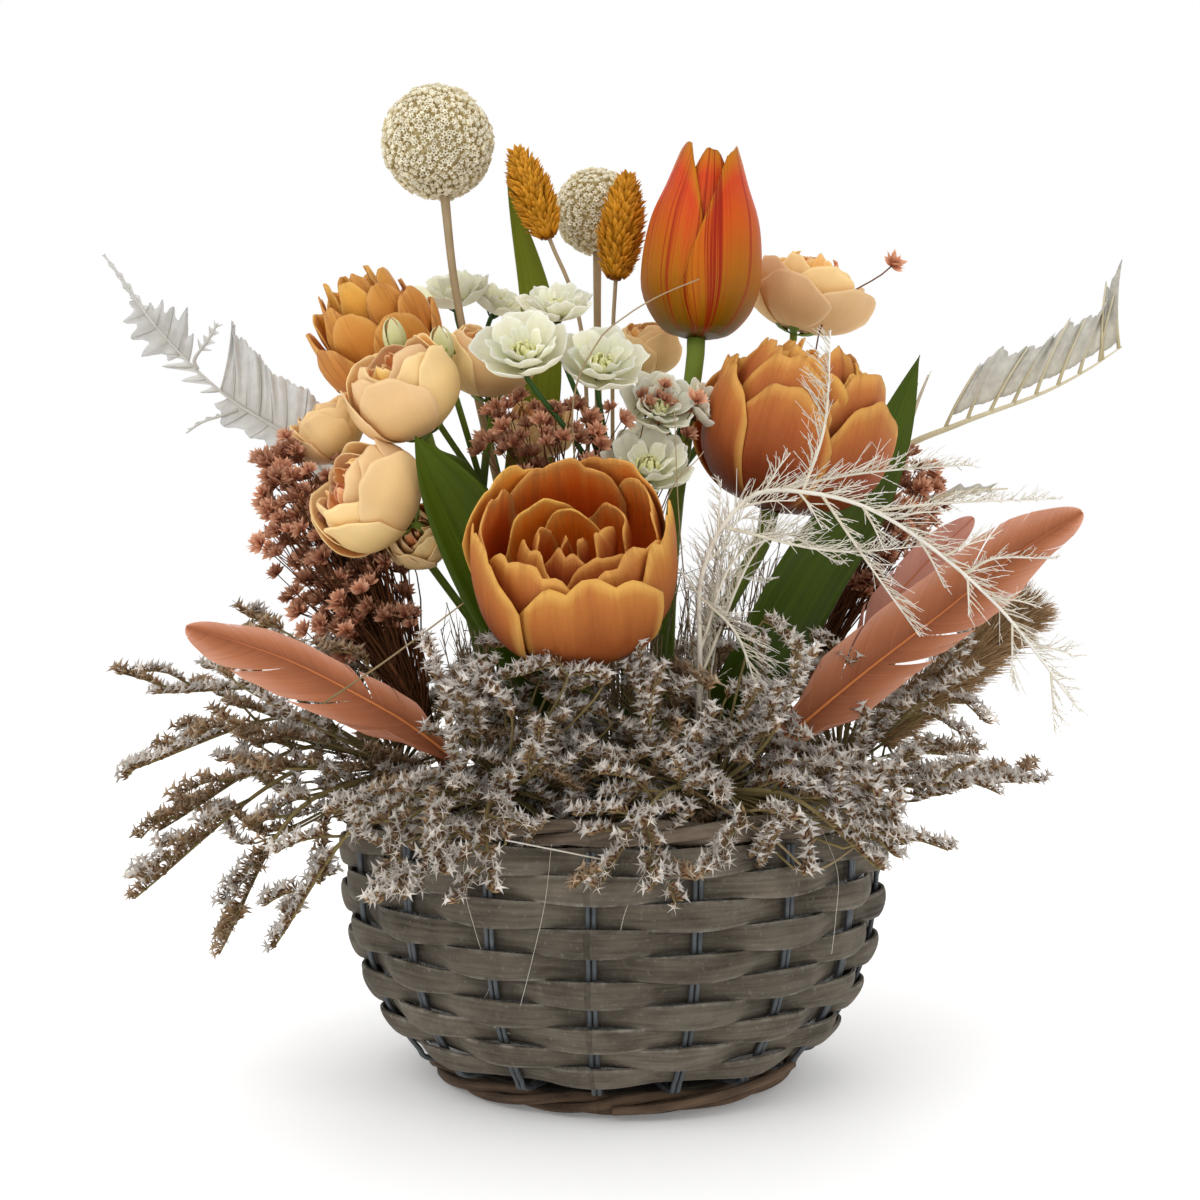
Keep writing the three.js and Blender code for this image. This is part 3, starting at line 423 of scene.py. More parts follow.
class Tree:
    """Places and joins the nodes of a material or of a group."""

    def __init__(self, tree: bpy.types.NodeTree) -> None:
        """Work on this tree."""
        self.tree = tree

    def feed(self, socket: Socket, value: object) -> None:
        """Join a socket to another, or set it.

        Args:
            socket: The socket.
            value: Another socket, a colour or a number.
        """
        if isinstance(value, Socket):
            self.tree.links.new(value, socket)
        elif isinstance(value, tuple) and socket.type == "RGBA":
            socket.default_value = (*value, 1.0)
        else:
            socket.default_value = value

    def node(self, kind: str, inputs: dict[str | int, object] | None = None,
             **settings: object) -> bpy.types.Node:
        """Add a node.

        Args:
            kind: Its kind, as Blender names it without ShaderNode.
            inputs: What feeds its inputs.
            settings: Its settings.

        Returns:
            The node.
        """
        node = self.tree.nodes.new(kind if kind.startswith("Node") else f"ShaderNode{kind}")
        for label, value in settings.items():
            setattr(node, label, value)
        for label, value in (inputs or {}).items():
            self.feed(node.inputs[label], value)
        return node

    def value(self, label: str) -> Socket:
        """Read one of the forms' values."""
        return self.node("Attribute", attribute_name=label).outputs["Fac"]

    def place(self) -> Socket:
        """Read the place on the piece, in metres."""
        return self.node("TexCoord").outputs["Object"]

    def spot(self, x: object, y: object, z: object) -> Socket:
        """Make a place from three numbers."""
        return self.node("CombineXYZ", {0: x, 1: y, 2: z}).outputs[0]

    def sum(self, kind: str, a: object, b: object = 0.0, clamp: bool = False) -> Socket:
        """Work out one number from two."""
        return self.node("Math", {0: a, 1: b}, operation=kind, use_clamp=clamp).outputs[0]

    def plus(self, a: object, b: object, share: float = 1.0) -> Socket:
        """Add a share of one number to another."""
        return self.sum("ADD", a, b if share == 1.0 else self.times(b, share))

    def times(self, a: object, b: object) -> Socket:
        """Multiply two numbers."""
        return self.sum("MULTIPLY", a, b)

    def swing(self, value: object, share: float) -> Socket:
        """Give how far a number between 0 and 1 stands off its middle, times a share."""
        return self.times(self.sum("SUBTRACT", value, 0.5), share)

    def aside(self) -> Socket:
        """Read how far off the middle line a place lies, from 0 to 1."""
        return self.sum("ABSOLUTE", self.value("across"))

    def noise(self, place: object, scale: float, detail: float = 3.0, rough: float = 0.55) -> Socket:
        """Draw a soft noise."""
        inputs = {"Vector": place, "Scale": scale, "Detail": detail, "Roughness": rough}
        return self.node("TexNoise", inputs).outputs["Fac"]

    def blend(self, share: object, a: object, b: object) -> Socket:
        """Mix two colours.

        Args:
            share: How much of the second there is.
            a: The first colour.
            b: The second colour.

        Returns:
            The mixed colour.
        """
        node = self.node("Mix", data_type="RGBA", clamp_factor=True)
        for number, value in ((0, share), (6, a), (7, b)):
            self.feed(node.inputs[number], value)
        return node.outputs[2]

    def ramp(self, share: object, stops: Stops) -> Socket:
        """Run through a row of colours.

        Args:
            share: Where in the row, from 0 to 1.
            stops: The colours and their places.

        Returns:
            The colour there.
        """
        node = self.node("ValToRGB", {0: share})
        while len(node.color_ramp.elements) < len(stops):
            node.color_ramp.elements.new(1.0)
        for element, (at, colour) in zip(node.color_ramp.elements, stops):
            element.position = at
            element.color = (*colour, 1.0)
        return node.outputs["Color"]

    def limits(self, value: object, low: float, high: float, to: tuple[float, float] = (0.0, 1.0)) -> Socket:
        """Spread a range of numbers over another, and clamp it."""
        inputs = {"Value": value, "From Min": low, "From Max": high, "To Min": to[0], "To Max": to[1]}
        return self.node("MapRange", inputs).outputs[0]

    def bump(self, height: object, depth: float) -> Socket:
        """Turn a height into a normal; depth is in metres."""
        return self.node("Bump", {"Height": height, "Distance": depth, "Strength": 1.0}).outputs[0]

    def surface(self, colour: object, rough: object, normal: Socket, gloss: float = 0.5,
                metal: float = 0.0) -> Socket:
        """Give an opaque surface.

        Args:
            colour: Its colour.
            rough: Its roughness.
            normal: Its normal.
            gloss: Its specular level.
            metal: How metallic it is.

        Returns:
            The shader.
        """
        inputs = {"Base Color": colour, "Roughness": rough, "Normal": normal, "Metallic": metal,
                  "Specular IOR Level": gloss}
        return self.node("BsdfPrincipled", inputs).outputs[0]

    def lit_through(self, shader: Socket, glow: float, **inputs: object) -> Socket:
        """Let light come through a surface.

        Args:
            shader: The surface.
            glow: How much light comes through.
            inputs: Colour and normal of that light.

        Returns:
            The shader.
        """
        if glow <= 0:
            return shader
        through = self.node("BsdfTranslucent", inputs).outputs[0]
        return self.node("MixShader", {0: glow, 1: shader, 2: through}).outputs[0]


Fill = Callable[[Tree, Sequence[Socket]], Socket]


def effect(name: str, inputs: dict[str, float | str], output: str, kind: str,
           fill: Fill) -> bpy.types.NodeTree:
    """Give a shared shader group, made on its first use.

    Args:
        name: The group's name.
        inputs: The usual number of each input, or its socket kind where it takes no number.
        output: The output's name.
        kind: The output's socket kind.
        fill: Builds the inside from the inputs and gives what feeds the output.

    Returns:
        The group.
    """
    known = bpy.data.node_groups.get(name)
    if known:
        return known
    group = bpy.data.node_groups.new(name, "ShaderNodeTree")
    for label, usual in inputs.items():
        sort = usual if isinstance(usual, str) else "Float"
        socket = group.interface.new_socket(name=label, in_out="INPUT", socket_type=f"NodeSocket{sort}")
        if sort == "Float":
            socket.default_value = usual
    group.interface.new_socket(name=output, in_out="OUTPUT", socket_type=f"NodeSocket{kind}")
    tree = Tree(group)
    tree.node("NodeGroupOutput", {output: fill(tree, tree.node("NodeGroupInput").outputs)})
    return group


def placed(tree: Tree, group: bpy.types.NodeTree, inputs: dict[str, object]) -> Socket:
    """Place a group with its own values and give its output."""
    return tree.node("Group", inputs, node_tree=group).outputs[0]


def mottle(tree: Tree, colour: object, scale: float, depth: float, tone: float, warm: float = 0.0) -> Socket:
    """Vary a colour's lightness over the surface and from one petal, floret or splint to the next.

    Args:
        tree: The material's tree.
        colour: The colour to vary.
        scale: How fine the patches are.
        depth: How strong the patches are.
        tone: How much one piece differs from the next.
        warm: How far that difference also shifts the hue.

    Returns:
        The varied colour.
    """
    def fill(inside: Tree, given: Sequence[Socket]) -> Socket:
        """Lift the colour by patches of noise and by the piece's own draw.

        Args:
            inside: The group's tree.
            given: The group's inputs.

        Returns:
            The varied colour.
        """
        patch = inside.swing(inside.noise(given["Place"], given["Scale"], 4.0, 0.5), given["Depth"])
        own = inside.swing(given["Draw"], given["Tone"])
        lift = inside.plus(inside.plus(patch, own), 1.0)
        hue = inside.plus(inside.times(own, given["Warm"]), 0.5)
        return inside.node("HueSaturation", {"Color": given["Colour"], "Value": lift, "Hue": hue}).outputs[0]

    usual = {"Colour": "Color", "Place": "Vector", "Scale": 100.0, "Depth": 0.3, "Draw": 0.5, "Tone": 0.2,
             "Warm": 0.0}
    own = {"Colour": colour, "Place": tree.place(), "Scale": scale, "Depth": depth,
           "Draw": tree.value("tone"), "Tone": tone, "Warm": warm}
    return placed(tree, effect("mottle", usual, "Colour", "Color", fill), own)


def fibres(tree: Tree, wide: float, long: float) -> Socket:
    """Draw fine lines that run along a petal, leaf, feather or splint.

    Args:
        tree: The material's tree.
        wide: How many lines there are across.
        long: How fast they change along.

    Returns:
        A mask from 0 to 1.
    """
    def fill(inside: Tree, given: Sequence[Socket]) -> Socket:
        """Stretch two noises along the piece, one fine and one coarse.

        Args:
            inside: The group's tree.
            given: The group's inputs.

        Returns:
            The mask.
        """
        across = inside.times(given["Across"], given["Wide"])
        along = inside.times(given["Along"], given["Long"])
        shift = inside.times(given["Draw"], 37.0)
        fine = inside.noise(inside.spot(across, along, shift), 1.0, 3.0, 0.6)
        coarse = inside.noise(inside.spot(inside.times(across, 0.23), along, shift), 1.0, 1.0)
        return inside.plus(inside.times(fine, 0.6), coarse, 0.4)

    usual = {"Across": 0.0, "Along": 0.0, "Draw": 0.5, "Wide": 10.0, "Long": 1.0}
    own = {"Across": tree.value("across"), "Along": tree.value("along"), "Draw": tree.value("tone"),
           "Wide": wide, "Long": long}
    return placed(tree, effect("fibres", usual, "Mask", "Float", fill), own)


@dataclass(frozen=True)
class Finish:
    """A finish, made into a material on its first use."""

    name: str

    def material(self) -> bpy.types.Material:
        """Give the material.

        Returns:
            The material, new or known.
        """
        known = bpy.data.materials.get(self.name)
        if known:
            return known
        material = bpy.data.materials.new(self.name)
        material.use_nodes = True
        material.node_tree.nodes.clear()
        tree = Tree(material.node_tree)
        tree.node("OutputMaterial", {"Surface": self.shade(tree)})
        return material

    def shade(self, tree: Tree) -> Socket:
        """Give the shader; each finish has its own."""
        raise NotImplementedError


@dataclass(frozen=True)
class PetalFinish(Finish):
    """A petal: colours from root to tip, a tint at its edges, fine veins and its own inside colour.

    Attributes:
        outside: Colours along the outer face.
        inside: Colours along the inner face.
        edge: Tint of the side edges and the tip.
        edge_width: How much of the half width the tint takes.
        vein: Colour of the veins, and vein_share how strong they are.
        depth: Height of the veins in metres.
        rough: Roughness.
        glow: How much light comes through.
        warm: How far the hue shifts from one petal to the next.
        lines: How many veins there are across, and how fast they change along.
    """

    outside: Stops
    inside: Stops
    edge: Colour
    edge_width: float
    vein: Colour
    vein_share: float
    depth: float
    rough: float
    glow: float
    warm: float = 0.0
    lines: tuple[float, float] = (9.0, 1.6)

    def shade(self, tree: Tree) -> Socket:
        """Mix the faces' colours, tint the edges and draw the veins.

        Args:
            tree: The material's tree.

        Returns:
            The shader.
        """
        along, lines = tree.value("along"), fibres(tree, *self.lines)
        wander = tree.plus(along, tree.swing(lines, 0.5))
        faces = tree.ramp(wander, self.outside), tree.ramp(wander, self.inside)
        colour = tree.blend(tree.value("inner"), *faces)
        side = tree.limits(tree.plus(tree.aside(), lines, 0.18), 1.06 - self.edge_width, 1.06)
        tip = tree.limits(tree.plus(along, lines, 0.12), 1.02 - self.edge_width * 0.4, 1.04)
        rim = tree.times(tree.sum("MAXIMUM", side, tip), tree.limits(along, 0.2, 0.55))
        colour = tree.blend(tree.times(rim, 0.85), colour, self.edge)
        streak = tree.limits(lines, 0.51, 0.6, (0.0, self.vein_share))
        colour = mottle(tree, tree.blend(streak, colour, self.vein), 60.0, 0.22, 0.16, self.warm)
        normal = tree.bump(tree.plus(lines, tree.noise(tree.place(), 900.0, 2.0), 0.25), self.depth)
        shader = tree.surface(colour, self.rough, normal, SATIN)
        return tree.lit_through(shader, self.glow, Color=colour, Normal=normal)


@dataclass(frozen=True)
class DryFinish(Finish):
    """A dried or fibrous surface with colours from root to tip.

    Attributes:
        stops: The colours.
        spread: How much one floret, hair or stem differs from the next.
        patch: How strong the patches are, and scale how fine.
        rough: Roughness.
        depth: Depth of its grain in metres.
        glow: How much light comes through.
    """

    stops: Stops
    spread: float = 0.4
    patch: float = 0.3
    scale: float = 220.0
    rough: float = 0.85
    depth: float = 0.0002
    glow: float = 0.0

    def shade(self, tree: Tree) -> Socket:
        """Run the colours along each part and add a dry grain.

        Args:
            tree: The material's tree.

        Returns:
            The shader.
        """
        wander = tree.plus(tree.value("along"), tree.swing(tree.value("tone"), 0.15))
        colour = mottle(tree, tree.ramp(wander, self.stops), self.scale, self.patch, self.spread)
        normal = tree.bump(tree.noise(tree.place(), self.scale * 6.0, 3.0, 0.7), self.depth)
        shader = tree.surface(colour, self.rough, normal, MATT)
        return tree.lit_through(shader, self.glow, Color=colour, Normal=normal)


@dataclass(frozen=True)
class WoodFinish(Finish):
    """A splint or cane: grain along it, worn pale at the edges, darker in patches.

    Attributes:
        dark: The grain's darker colour, and light the lighter one.
        wash: The pale wash on its edges and high places, and wash_share how strong it is.
        lines: How many grain lines there are across.
    """

    dark: Colour
    light: Colour
    wash: Colour
    wash_share: float
    lines: float

    def shade(self, tree: Tree) -> Socket:
        """Draw the grain, the wash and small cracks.

        Args:
            tree: The material's tree.

        Returns:
            The shader.
        """
        grain, place = fibres(tree, self.lines, 0.05), tree.place()
        share = tree.plus(tree.times(grain, 1.1), tree.swing(tree.noise(place, 45.0, 4.0, 0.6), 0.9))
        colour = tree.ramp(share, ((0.3, self.dark), (0.75, self.light)))
        edge = tree.limits(tree.aside(), 0.72, 1.0)
        worn = tree.limits(tree.noise(place, 130.0, 5.0, 0.7), 0.42, 0.68)
        speck = tree.limits(tree.noise(place, 520.0, 3.0, 0.7), 0.58, 0.72)
        wash = tree.sum("MULTIPLY", tree.plus(tree.times(edge, worn), speck, 0.4), self.wash_share, True)
        colour = mottle(tree, tree.blend(wash, colour, self.wash), 30.0, 0.3, 0.3)
        normal = tree.bump(tree.plus(grain, tree.noise(place, 700.0, 3.0, 0.7), 0.35), 0.0005)
        return tree.surface(colour, tree.limits(grain, 0.3, 0.7, (0.9, 0.72)), normal, WAXED)


@dataclass(frozen=True)
class WireFinish(Finish):
    """Dull galvanised wire with grey patches."""

    colour: Colour
    rough: float = 0.5

    def shade(self, tree: Tree) -> Socket:
        """Patch the zinc and roughen it.

        Args:
            tree: The material's tree.

        Returns:
            The shader.
        """
        patch = tree.noise(tree.place(), 320.0, 4.0, 0.65)
        colour = mottle(tree, self.colour, 260.0, 0.8, 0.2)
        rough = tree.limits(patch, 0.3, 0.7, (self.rough - 0.12, self.rough + 0.25))
        return tree.surface(colour, rough, tree.bump(patch, 0.0002), metal=0.65)


@dataclass(frozen=True)
class LeafFinish(Finish):
    """A smooth green leaf with parallel veins and a paler keel."""

    dark: Colour
    light: Colour
    rough: float = 0.38

    def shade(self, tree: Tree) -> Socket:
        """Draw the parallel veins and the keel.

        Args:
            tree: The material's tree.

        Returns:
            The shader.
        """
        lines = fibres(tree, 11.0, 1.2)
        share = tree.plus(tree.times(lines, 0.8), tree.value("along"), 0.25)
        colour = tree.ramp(share, ((0.3, self.dark), (0.75, self.light)))
        keel = tree.limits(tree.aside(), 0.09, 0.0, (0.0, 0.35))
        colour = mottle(tree, tree.blend(keel, colour, self.light), 50.0, 0.25, 0.25)
        shader = tree.surface(colour, self.rough, tree.bump(lines, 0.0005), SATIN)
        return tree.lit_through(shader, 0.14, Color=colour)


@dataclass(frozen=True)
class FilmFinish(Finish):
    """Clear crinkled film."""

    tint: Colour

    def shade(self, tree: Tree) -> Socket:
        """Let light straight through, with gloss on the crinkles.

        Args:
            tree: The material's tree.

        Returns:
            The shader.
        """
        crinkle = tree.bump(tree.noise(tree.place(), 90.0, 4.0, 0.6), 0.004)
        gloss = tree.surface(self.tint, 0.12, crinkle)
        clear = tree.node("BsdfTransparent").outputs[0]
        facing = tree.node("LayerWeight", {"Blend": 0.35}).outputs["Facing"]
        share = tree.plus(tree.times(facing, 0.45), 0.14)
        return tree.node("MixShader", {0: share, 1: clear, 2: gloss}).outputs[0]


def tint(code: int) -> Colour:
    """Give a screen colour as light.

    Args:
        code: The colour, such as 0xE08850.

    Returns:
        Red, green and blue.
    """
    parts = [(code >> shift & 255) / 255 for shift in (16, 8, 0)]
    red, green, blue = (
        part / 12.92 if part <= 0.04045 else ((part + 0.055) / 1.055) ** 2.4 for part in parts)
    return red, green, blue


def stops(*pairs: tuple[float, int]) -> Stops:
    """Give a row of colours from places and screen colours."""
    return tuple((at, tint(code)) for at, code in pairs)


# ---------------------------------------------------------------- the basket

SPLINT = WoodFinish("splint wood", tint(0x3E372E), tint(0x665E51), tint(0x8E887E), 0.75, 4.0)
CANE = WoodFinish("rim cane", tint(0x4A3E33), tint(0x7E6F5E), tint(0x958B7E), 0.6, 2.5)
FOOT_CANE = WoodFinish("foot cane", tint(0x35281F), tint(0x67523F), tint(0x75675A), 0.35, 2.5)
WIRE = WireFinish("zinc wire", tint(0x565A5D))
FILM = FilmFinish("clear film", tint(0xF2F5F5))
FOAM = DryFinish("dry foam", stops((0.0, 0x5C5A40), (1.0, 0x6C6A4C)), 0.1, 0.5, 120.0, 0.95, 0.0008)
TANGLE = DryFinish("dry fibres", stops((0.0, 0x4A3C28), (0.6, 0x7A684A), (1.0, 0x9C8C6A)), 0.7)


@dataclass
class Basket:
    """The woven bowl: wires, splints, twisted canes, film, floor and foam.

    Attributes:
        foot: Radius of the wall's line at the bottom.
        mouth: Radius of the wall's line at the top.
        height: Height of the wall's line.
        swell: How fast the wall opens low down.
        stakes: Number of stakes.
        rows: Number of splints.
        low: Height where the splints begin.
        high: Height where they end.
        weave: How far a splint stands off the wall's line at a stake.
        thick: Thickness of a splint.
        turn: How far the front stake is turned from -Y.
        wire: Radius of one wire.
        ring_at: Radius and height of the wire ring under the floor.
        film_thick: Thickness of the film.
        film_low: Height of the film's lower edge.
        fibre_count: Number of dry fibres over the foam.
    """

    foot: float = 62.0
    mouth: float = 97.0
    height: float = 95.0
    swell: float = 3.1
    stakes: int = 18
    rows: int = 10
    low: float = 14.4
    high: float = 94.2
    weave: float = 2.8
    thick: float = 1.6
    turn: float = -0.08
    wire: float = 0.85
    ring_at: tuple[float, float] = (54.0, 8.7)
    film_thick: float = 0.12
    film_low: float = 15.0
    fibre_count: int = 420

    def wall(self, z: Array | float) -> Array:
        """Give the radius of the wall's line at a height."""
        share = 1 - np.clip(1 - np.asarray(z) / self.height, 0, 1) ** self.swell
        return self.foot + (self.mouth - self.foot) * share

    def ring(self, angle: Array, radius: Array | float, z: Array | float) -> Array:
        """Give points round the basket.

        Args:
            angle: Where round it; 0 is the front stake.
            radius: How far out.
            z: How high.

        Returns:
            The points.
        """
        spot = angle + self.turn
        return np.stack(np.broadcast_arrays(radius * np.sin(spot), -radius * np.cos(spot), z), axis=-1)

    def splint(self, index: int) -> None:
        """Weave one flat splint.

        Args:
            index: Its row, from the bottom.
        """
        draw = np.random.default_rng(100 + index)
        heights = np.linspace(0, self.height, 60)
        line = Line(np.stack([self.wall(heights), heights], axis=-1), 3)
        low, high = (np.interp(z, line.points[:, 1], line.reach * line.length) for z in (self.low, self.high))
        angle = np.arange(self.stakes * 16) * TURN / (self.stakes * 16)
        out = (1 if index % 2 == 0 else -1) * np.cos(angle * self.stakes / 2)

        def waver(*waves: int) -> Array:
            """Add up a few waves round the basket, each with its own start and strength."""
            return sum(np.sin(angle * k + draw.uniform(0, TURN)) * draw.uniform(0.3, 1.0) for k in waves)

        sway, swell = waver(3, 5, 8, 14) / 4, waver(4, 7, 11) / 3
        pitch = (high - low) / self.rows
        half = pitch / 2 * (0.97 + 0.1 * out**2 + 0.06 * out + 0.03 * swell)
        middle = low + (index + 0.5) * pitch + 0.5 * sway
        across = np.linspace(-1, 1, 9)[:, None]
        spots = line.at((middle + across * half) / line.length)
        bow = 0.5 * (1 - across**2) + 0.2 * np.sin(angle * 23 + across * 2)
        radius = spots[..., 0] + np.sign(out) * np.abs(out) ** 0.85 * self.weave + bow
        thick = self.thick * (1 - 0.35 * across**6) + 0 * angle
        form = Form()
        values = readings(angle * 90, across, draw.uniform())
        form.sheet(self.ring(angle, radius, spots[..., 1]), values, thick, ring=True)
        form.build(f"splint_{index + 1:02d}", [SPLINT], [f"splint_row_{index + 1:02d}"], "splint", 50)

    def wires(self) -> None:
        """Stand a pair of wires at each stake, on a ring under the film."""
        form = Form()
        middle, low = self.ring_at
        form.tube(self.ring(np.linspace(0, TURN, 97), middle, low), 1.4, 8)
        heights = np.array([10.5, 14, 20, 30, 43, 56, 68, 80, 89, 93.4])
        radii = [middle, self.foot, *(self.wall(heights) + 0.4)]
        path = Line(np.stack([radii, [low, 8.9, *heights]], axis=-1), 6).points
        for stake in range(self.stakes):
            angle = stake * TURN / self.stakes
            for side in (-1, 1):
                shift = side * (self.wire + 0.1) / path[:, 0]
                form.tube(self.ring(angle + shift, path[:, 0], path[:, 1]), self.wire, 8, 0.3 + 0.02 * stake)
        form.build("wires", [WIRE], ["wire_frame"], "wire")

    def twisted(self, radius: float, height: float, offset: float, thick: float, twists: int) -> Form:
        """Twist three canes round each other into a ring.

        Args:
            radius: The ring's radius.
            height: The ring's height.
            offset: How far each cane stands off the ring's line.
            thick: Radius of a cane.
            twists: How often they turn round each other.

        Returns:
            The ring.
        """
        draw = np.random.default_rng(twists)
        form = Form()
        angle = np.linspace(0, TURN, 481)
        for cane in range(3):
            phase = angle * twists + cane * TURN / 3 + 0.35 * np.sin(angle * 5 + cane)
            size = thick * (1 + 0.07 * np.sin(angle * 9 + cane * 2) + 0.05 * np.sin(angle * 17 + cane))
            path = self.ring(angle, radius + offset * np.cos(phase), height + offset * np.sin(phase))
            form.tube(path, size, 10, draw.uniform(), end=TURN * radius)
        return form

    def canes(self) -> None:
        """Lay the twisted canes round the mouth and the foot, with one loose end at the foot."""
        rim = self.twisted(96.0, 98.9, 2.25, 2.1, 7)
        rim.build("rim_canes", [CANE], ["rim_braid"], "cane")
        foot = self.twisted(64.8, 4.6, 1.95, 1.75, 5)
        angle = np.radians([4, 14, 26, 38, 50, 60])
        radius, height = np.array([[69, 70.5, 73, 75.2, 76.2, 75], [3.6, 4.4, 6.4, 8.8, 10.6, 11.4]])
        loose = Line(self.ring(angle, radius, height))
        foot.tube(loose.points, 1.5, 8, 0.8, end=loose.length)
        foot.build("foot_canes", [FOOT_CANE], ["foot_braid"], "foot_cane")

    def film(self) -> None:
        """Line the wall with crinkled film."""
        draw = np.random.default_rng(7)
        angle = np.arange(220) * TURN / 220
        rise = np.linspace(0, 1, 34)[:, None]
        crinkle = sum(np.sin(angle * k + draw.uniform(0, TURN) + rise * draw.uniform(-5, 5)) / k**0.4
                      for k in range(9, 60, 7))
        top = 93.5 + 1.2 * np.sin(angle * 11) + 0.9 * np.sin(angle * 29 + 1)
        z = self.film_low + (top - self.film_low) * rise
        points = self.ring(angle, self.wall(z) - 4.6 + 0.22 * crinkle, z)
        form = Form()
        form.sheet(points, PLAIN, self.film_thick, ring=True)
        share = np.linspace(0.02, 1, 8)[:, None]
        floor = self.ring(angle, share * points[0, :, 0].max() * 0.99, 14.2 + 0.8 * share**4)
        form.sheet(floor, PLAIN, self.film_thick, ring=True)
        form.build("film", [FILM], ["film_liner"], "liner_film")

    def filling(self) -> None:
        """Finish the foam and the floor, and lay dry fibres over the foam."""
        for name, finish in (("dry_foam", FOAM), ("basket_floor", SPLINT)):
            for slot in bpy.data.objects[name].material_slots:
                slot.material = finish.material()
        draw = np.random.default_rng(9)
        form = Form()
        for _ in range(self.fibre_count):
            middle, heading = draw.uniform(0, TURN), draw.uniform(0, TURN)
            at = np.array([math.cos(middle), math.sin(middle)]) * 80 * math.sqrt(draw.uniform())
            swing = np.linspace(-1, 1, 7) * draw.uniform(6, 16)
            bend = draw.uniform(-0.03, 0.03) * swing**2
            cos, sin = math.cos(heading), math.sin(heading)
            x, y = at[0] + swing * cos - bend * sin, at[1] + swing * sin + bend * cos
            near = np.minimum(1, 86 / np.maximum(np.hypot(x, y), 1))
            z = FOAM_TOP + 0.5 + draw.uniform(0.5, 6) * (1 - (swing / swing.max()) ** 2)
            form.tube(np.stack([x * near, y * near, z], axis=-1), draw.uniform(0.15, 0.4), 3, draw.uniform())
        form.build("foam_fibres", [TANGLE])

    def build(self) -> None:
        """Build the whole basket."""
        self.wires()
        for index in range(self.rows):
            self.splint(index)
        self.canes()
        self.film()
        self.filling()


# ---------------------------------------------------------------- petals, stems and leaves


@dataclass(frozen=True)
class Whorl:
    """One ring of petals.

    Attributes:
        count: Number of petals.
        line: The petal's middle line as distances out and up, from root to tip.
        half: Half the angle that a petal takes, in degrees.
        dip: How much sooner its sides end than its middle.
        power: How square its tip is.
        lobes: Number of lobes at its tip.
        notch: Depth of the valleys between lobes.
        cup: How far its sides stand out from its middle, as a share.
        lap: How far one side stands out over its neighbour.
        ruffle: How much it waves.
        turn: How far the ring is turned, in degrees.
        thick: Thickness.
        loose: How much one petal differs from the next.
    """

    count: int
    line: tuple[tuple[float, float], ...]
    half: float
    dip: float = 0.15
    power: float = 2.4
    lobes: int = 1
    notch: float = 0.0
    cup: float = 0.0
    lap: float = 1.5
    ruffle: float = 0.6
    turn: float = 0.0
    thick: float = 0.9
    loose: float = 1.0

    def petal(self, form: Form, around: float, draw: Draw, wide: float, tall: float) -> None:
        """Shape one petal.

        Args:
            form: The form that takes it.
            around: Its angle.
            draw: Source of its small differences.
            wide: Scale across the bloom.
            tall: Scale along the bloom's axis.
        """
        along = steps(22)[:, None]
        across = np.linspace(-1, 1, 19)[None]
        top = 1 - self.dip * np.abs(across) ** self.power
        lobe = np.abs(np.sin(self.lobes * math.pi * (across * draw.uniform(0.9, 1.1) + 1) / 2))
        top = top - self.notch * (1 - lobe**0.55)
        top = top * (1 + draw.uniform(-0.05, 0.03) * self.loose)
        top = top + 0.012 * np.sin(across * 11 + draw.uniform(0, TURN))
        spots = Line(self.line).at(np.clip(along**0.85 * top, 0, 1))
        out, up = spots[..., 0] * wide, spots[..., 1] * tall
        flare = along**2
        wave = np.sin(across * draw.uniform(3.5, 6) + draw.uniform(0, TURN))
        wave = wave + 0.6 * np.sin(across * draw.uniform(7, 11) + along * 3)
        out = out * (1 + self.cup * across**2 * flare) + self.lap * across * along**0.7 * wide
        out = out + self.ruffle * wave * flare
        out = out + draw.uniform(-0.8, 0.8) * self.loose * along
        up = up + 0.5 * self.ruffle * np.sin(across * 5 + draw.uniform(0, TURN)) * flare
        out = np.maximum(out, 0.15)
        half = math.radians(self.half) * (0.8 + 0.2 * np.sin(along * math.pi * 0.6))
        half = half * draw.uniform(0.95, 1.05)
        angle = around + across * half
        points = np.stack([out * np.cos(angle), out * np.sin(angle), up], axis=-1)
        thick = self.thick * (0.45 + 0.55 * (1 - across**6)) * (1 - 0.45 * along**8)
        form.sheet(points, readings(along, across, draw.uniform()), thick)

    def add(self, form: Form, draw: Draw, wide: float = 1.0, tall: float = 1.0) -> None:
        """Add the whole ring to a form that stands on the origin.

        Args:
            form: The form.
            draw: Source of its small differences.
            wide: Scale across the bloom.
            tall: Scale along the bloom's axis.
        """
        for index in range(self.count):
            shift = (index + draw.uniform(-0.06, 0.06) * self.loose) * TURN / self.count
            self.petal(form, math.radians(self.turn) + shift, draw, wide, tall)


OPEN_TULIP = (
    Whorl(5, ((4, 0), (20, 4), (31, 16), (34, 31), (33.5, 46), (31.5, 59)), 41, 0.2, 2.2, 3, 0.06, 0.03, 1.6,
          0.6, 0, 1.1),
    Whorl(5, ((4, 2), (17, 6), (27.5, 18), (30.5, 34), (29.5, 48), (27, 60)), 41, 0.2, 2.2, 3, 0.06, 0.02,
          1.6, 0.6, 36, 1.1),
    Whorl(4, ((3, 4), (10, 10), (17, 22), (20, 34), (19, 45), (16.5, 53)), 50, 0.3, 2.0, 2, 0.03, 0.04, 2.6,
          0.9, 62, 1.1),
    Whorl(4, ((1, 4), (6, 12), (11.5, 24), (13, 36), (11.5, 46), (8.5, 52)), 52, 0.3, 1.8, 2, 0.04, 0.06, 2.4,
          0.9, 20, 1.0),
    Whorl(2, ((0.5, 4), (2, 14), (4.5, 28), (4, 40), (2, 47)), 75, 0.3, 1.8, 1, 0, 0.05, 1.6, 0.6, 100, 0.9),
)
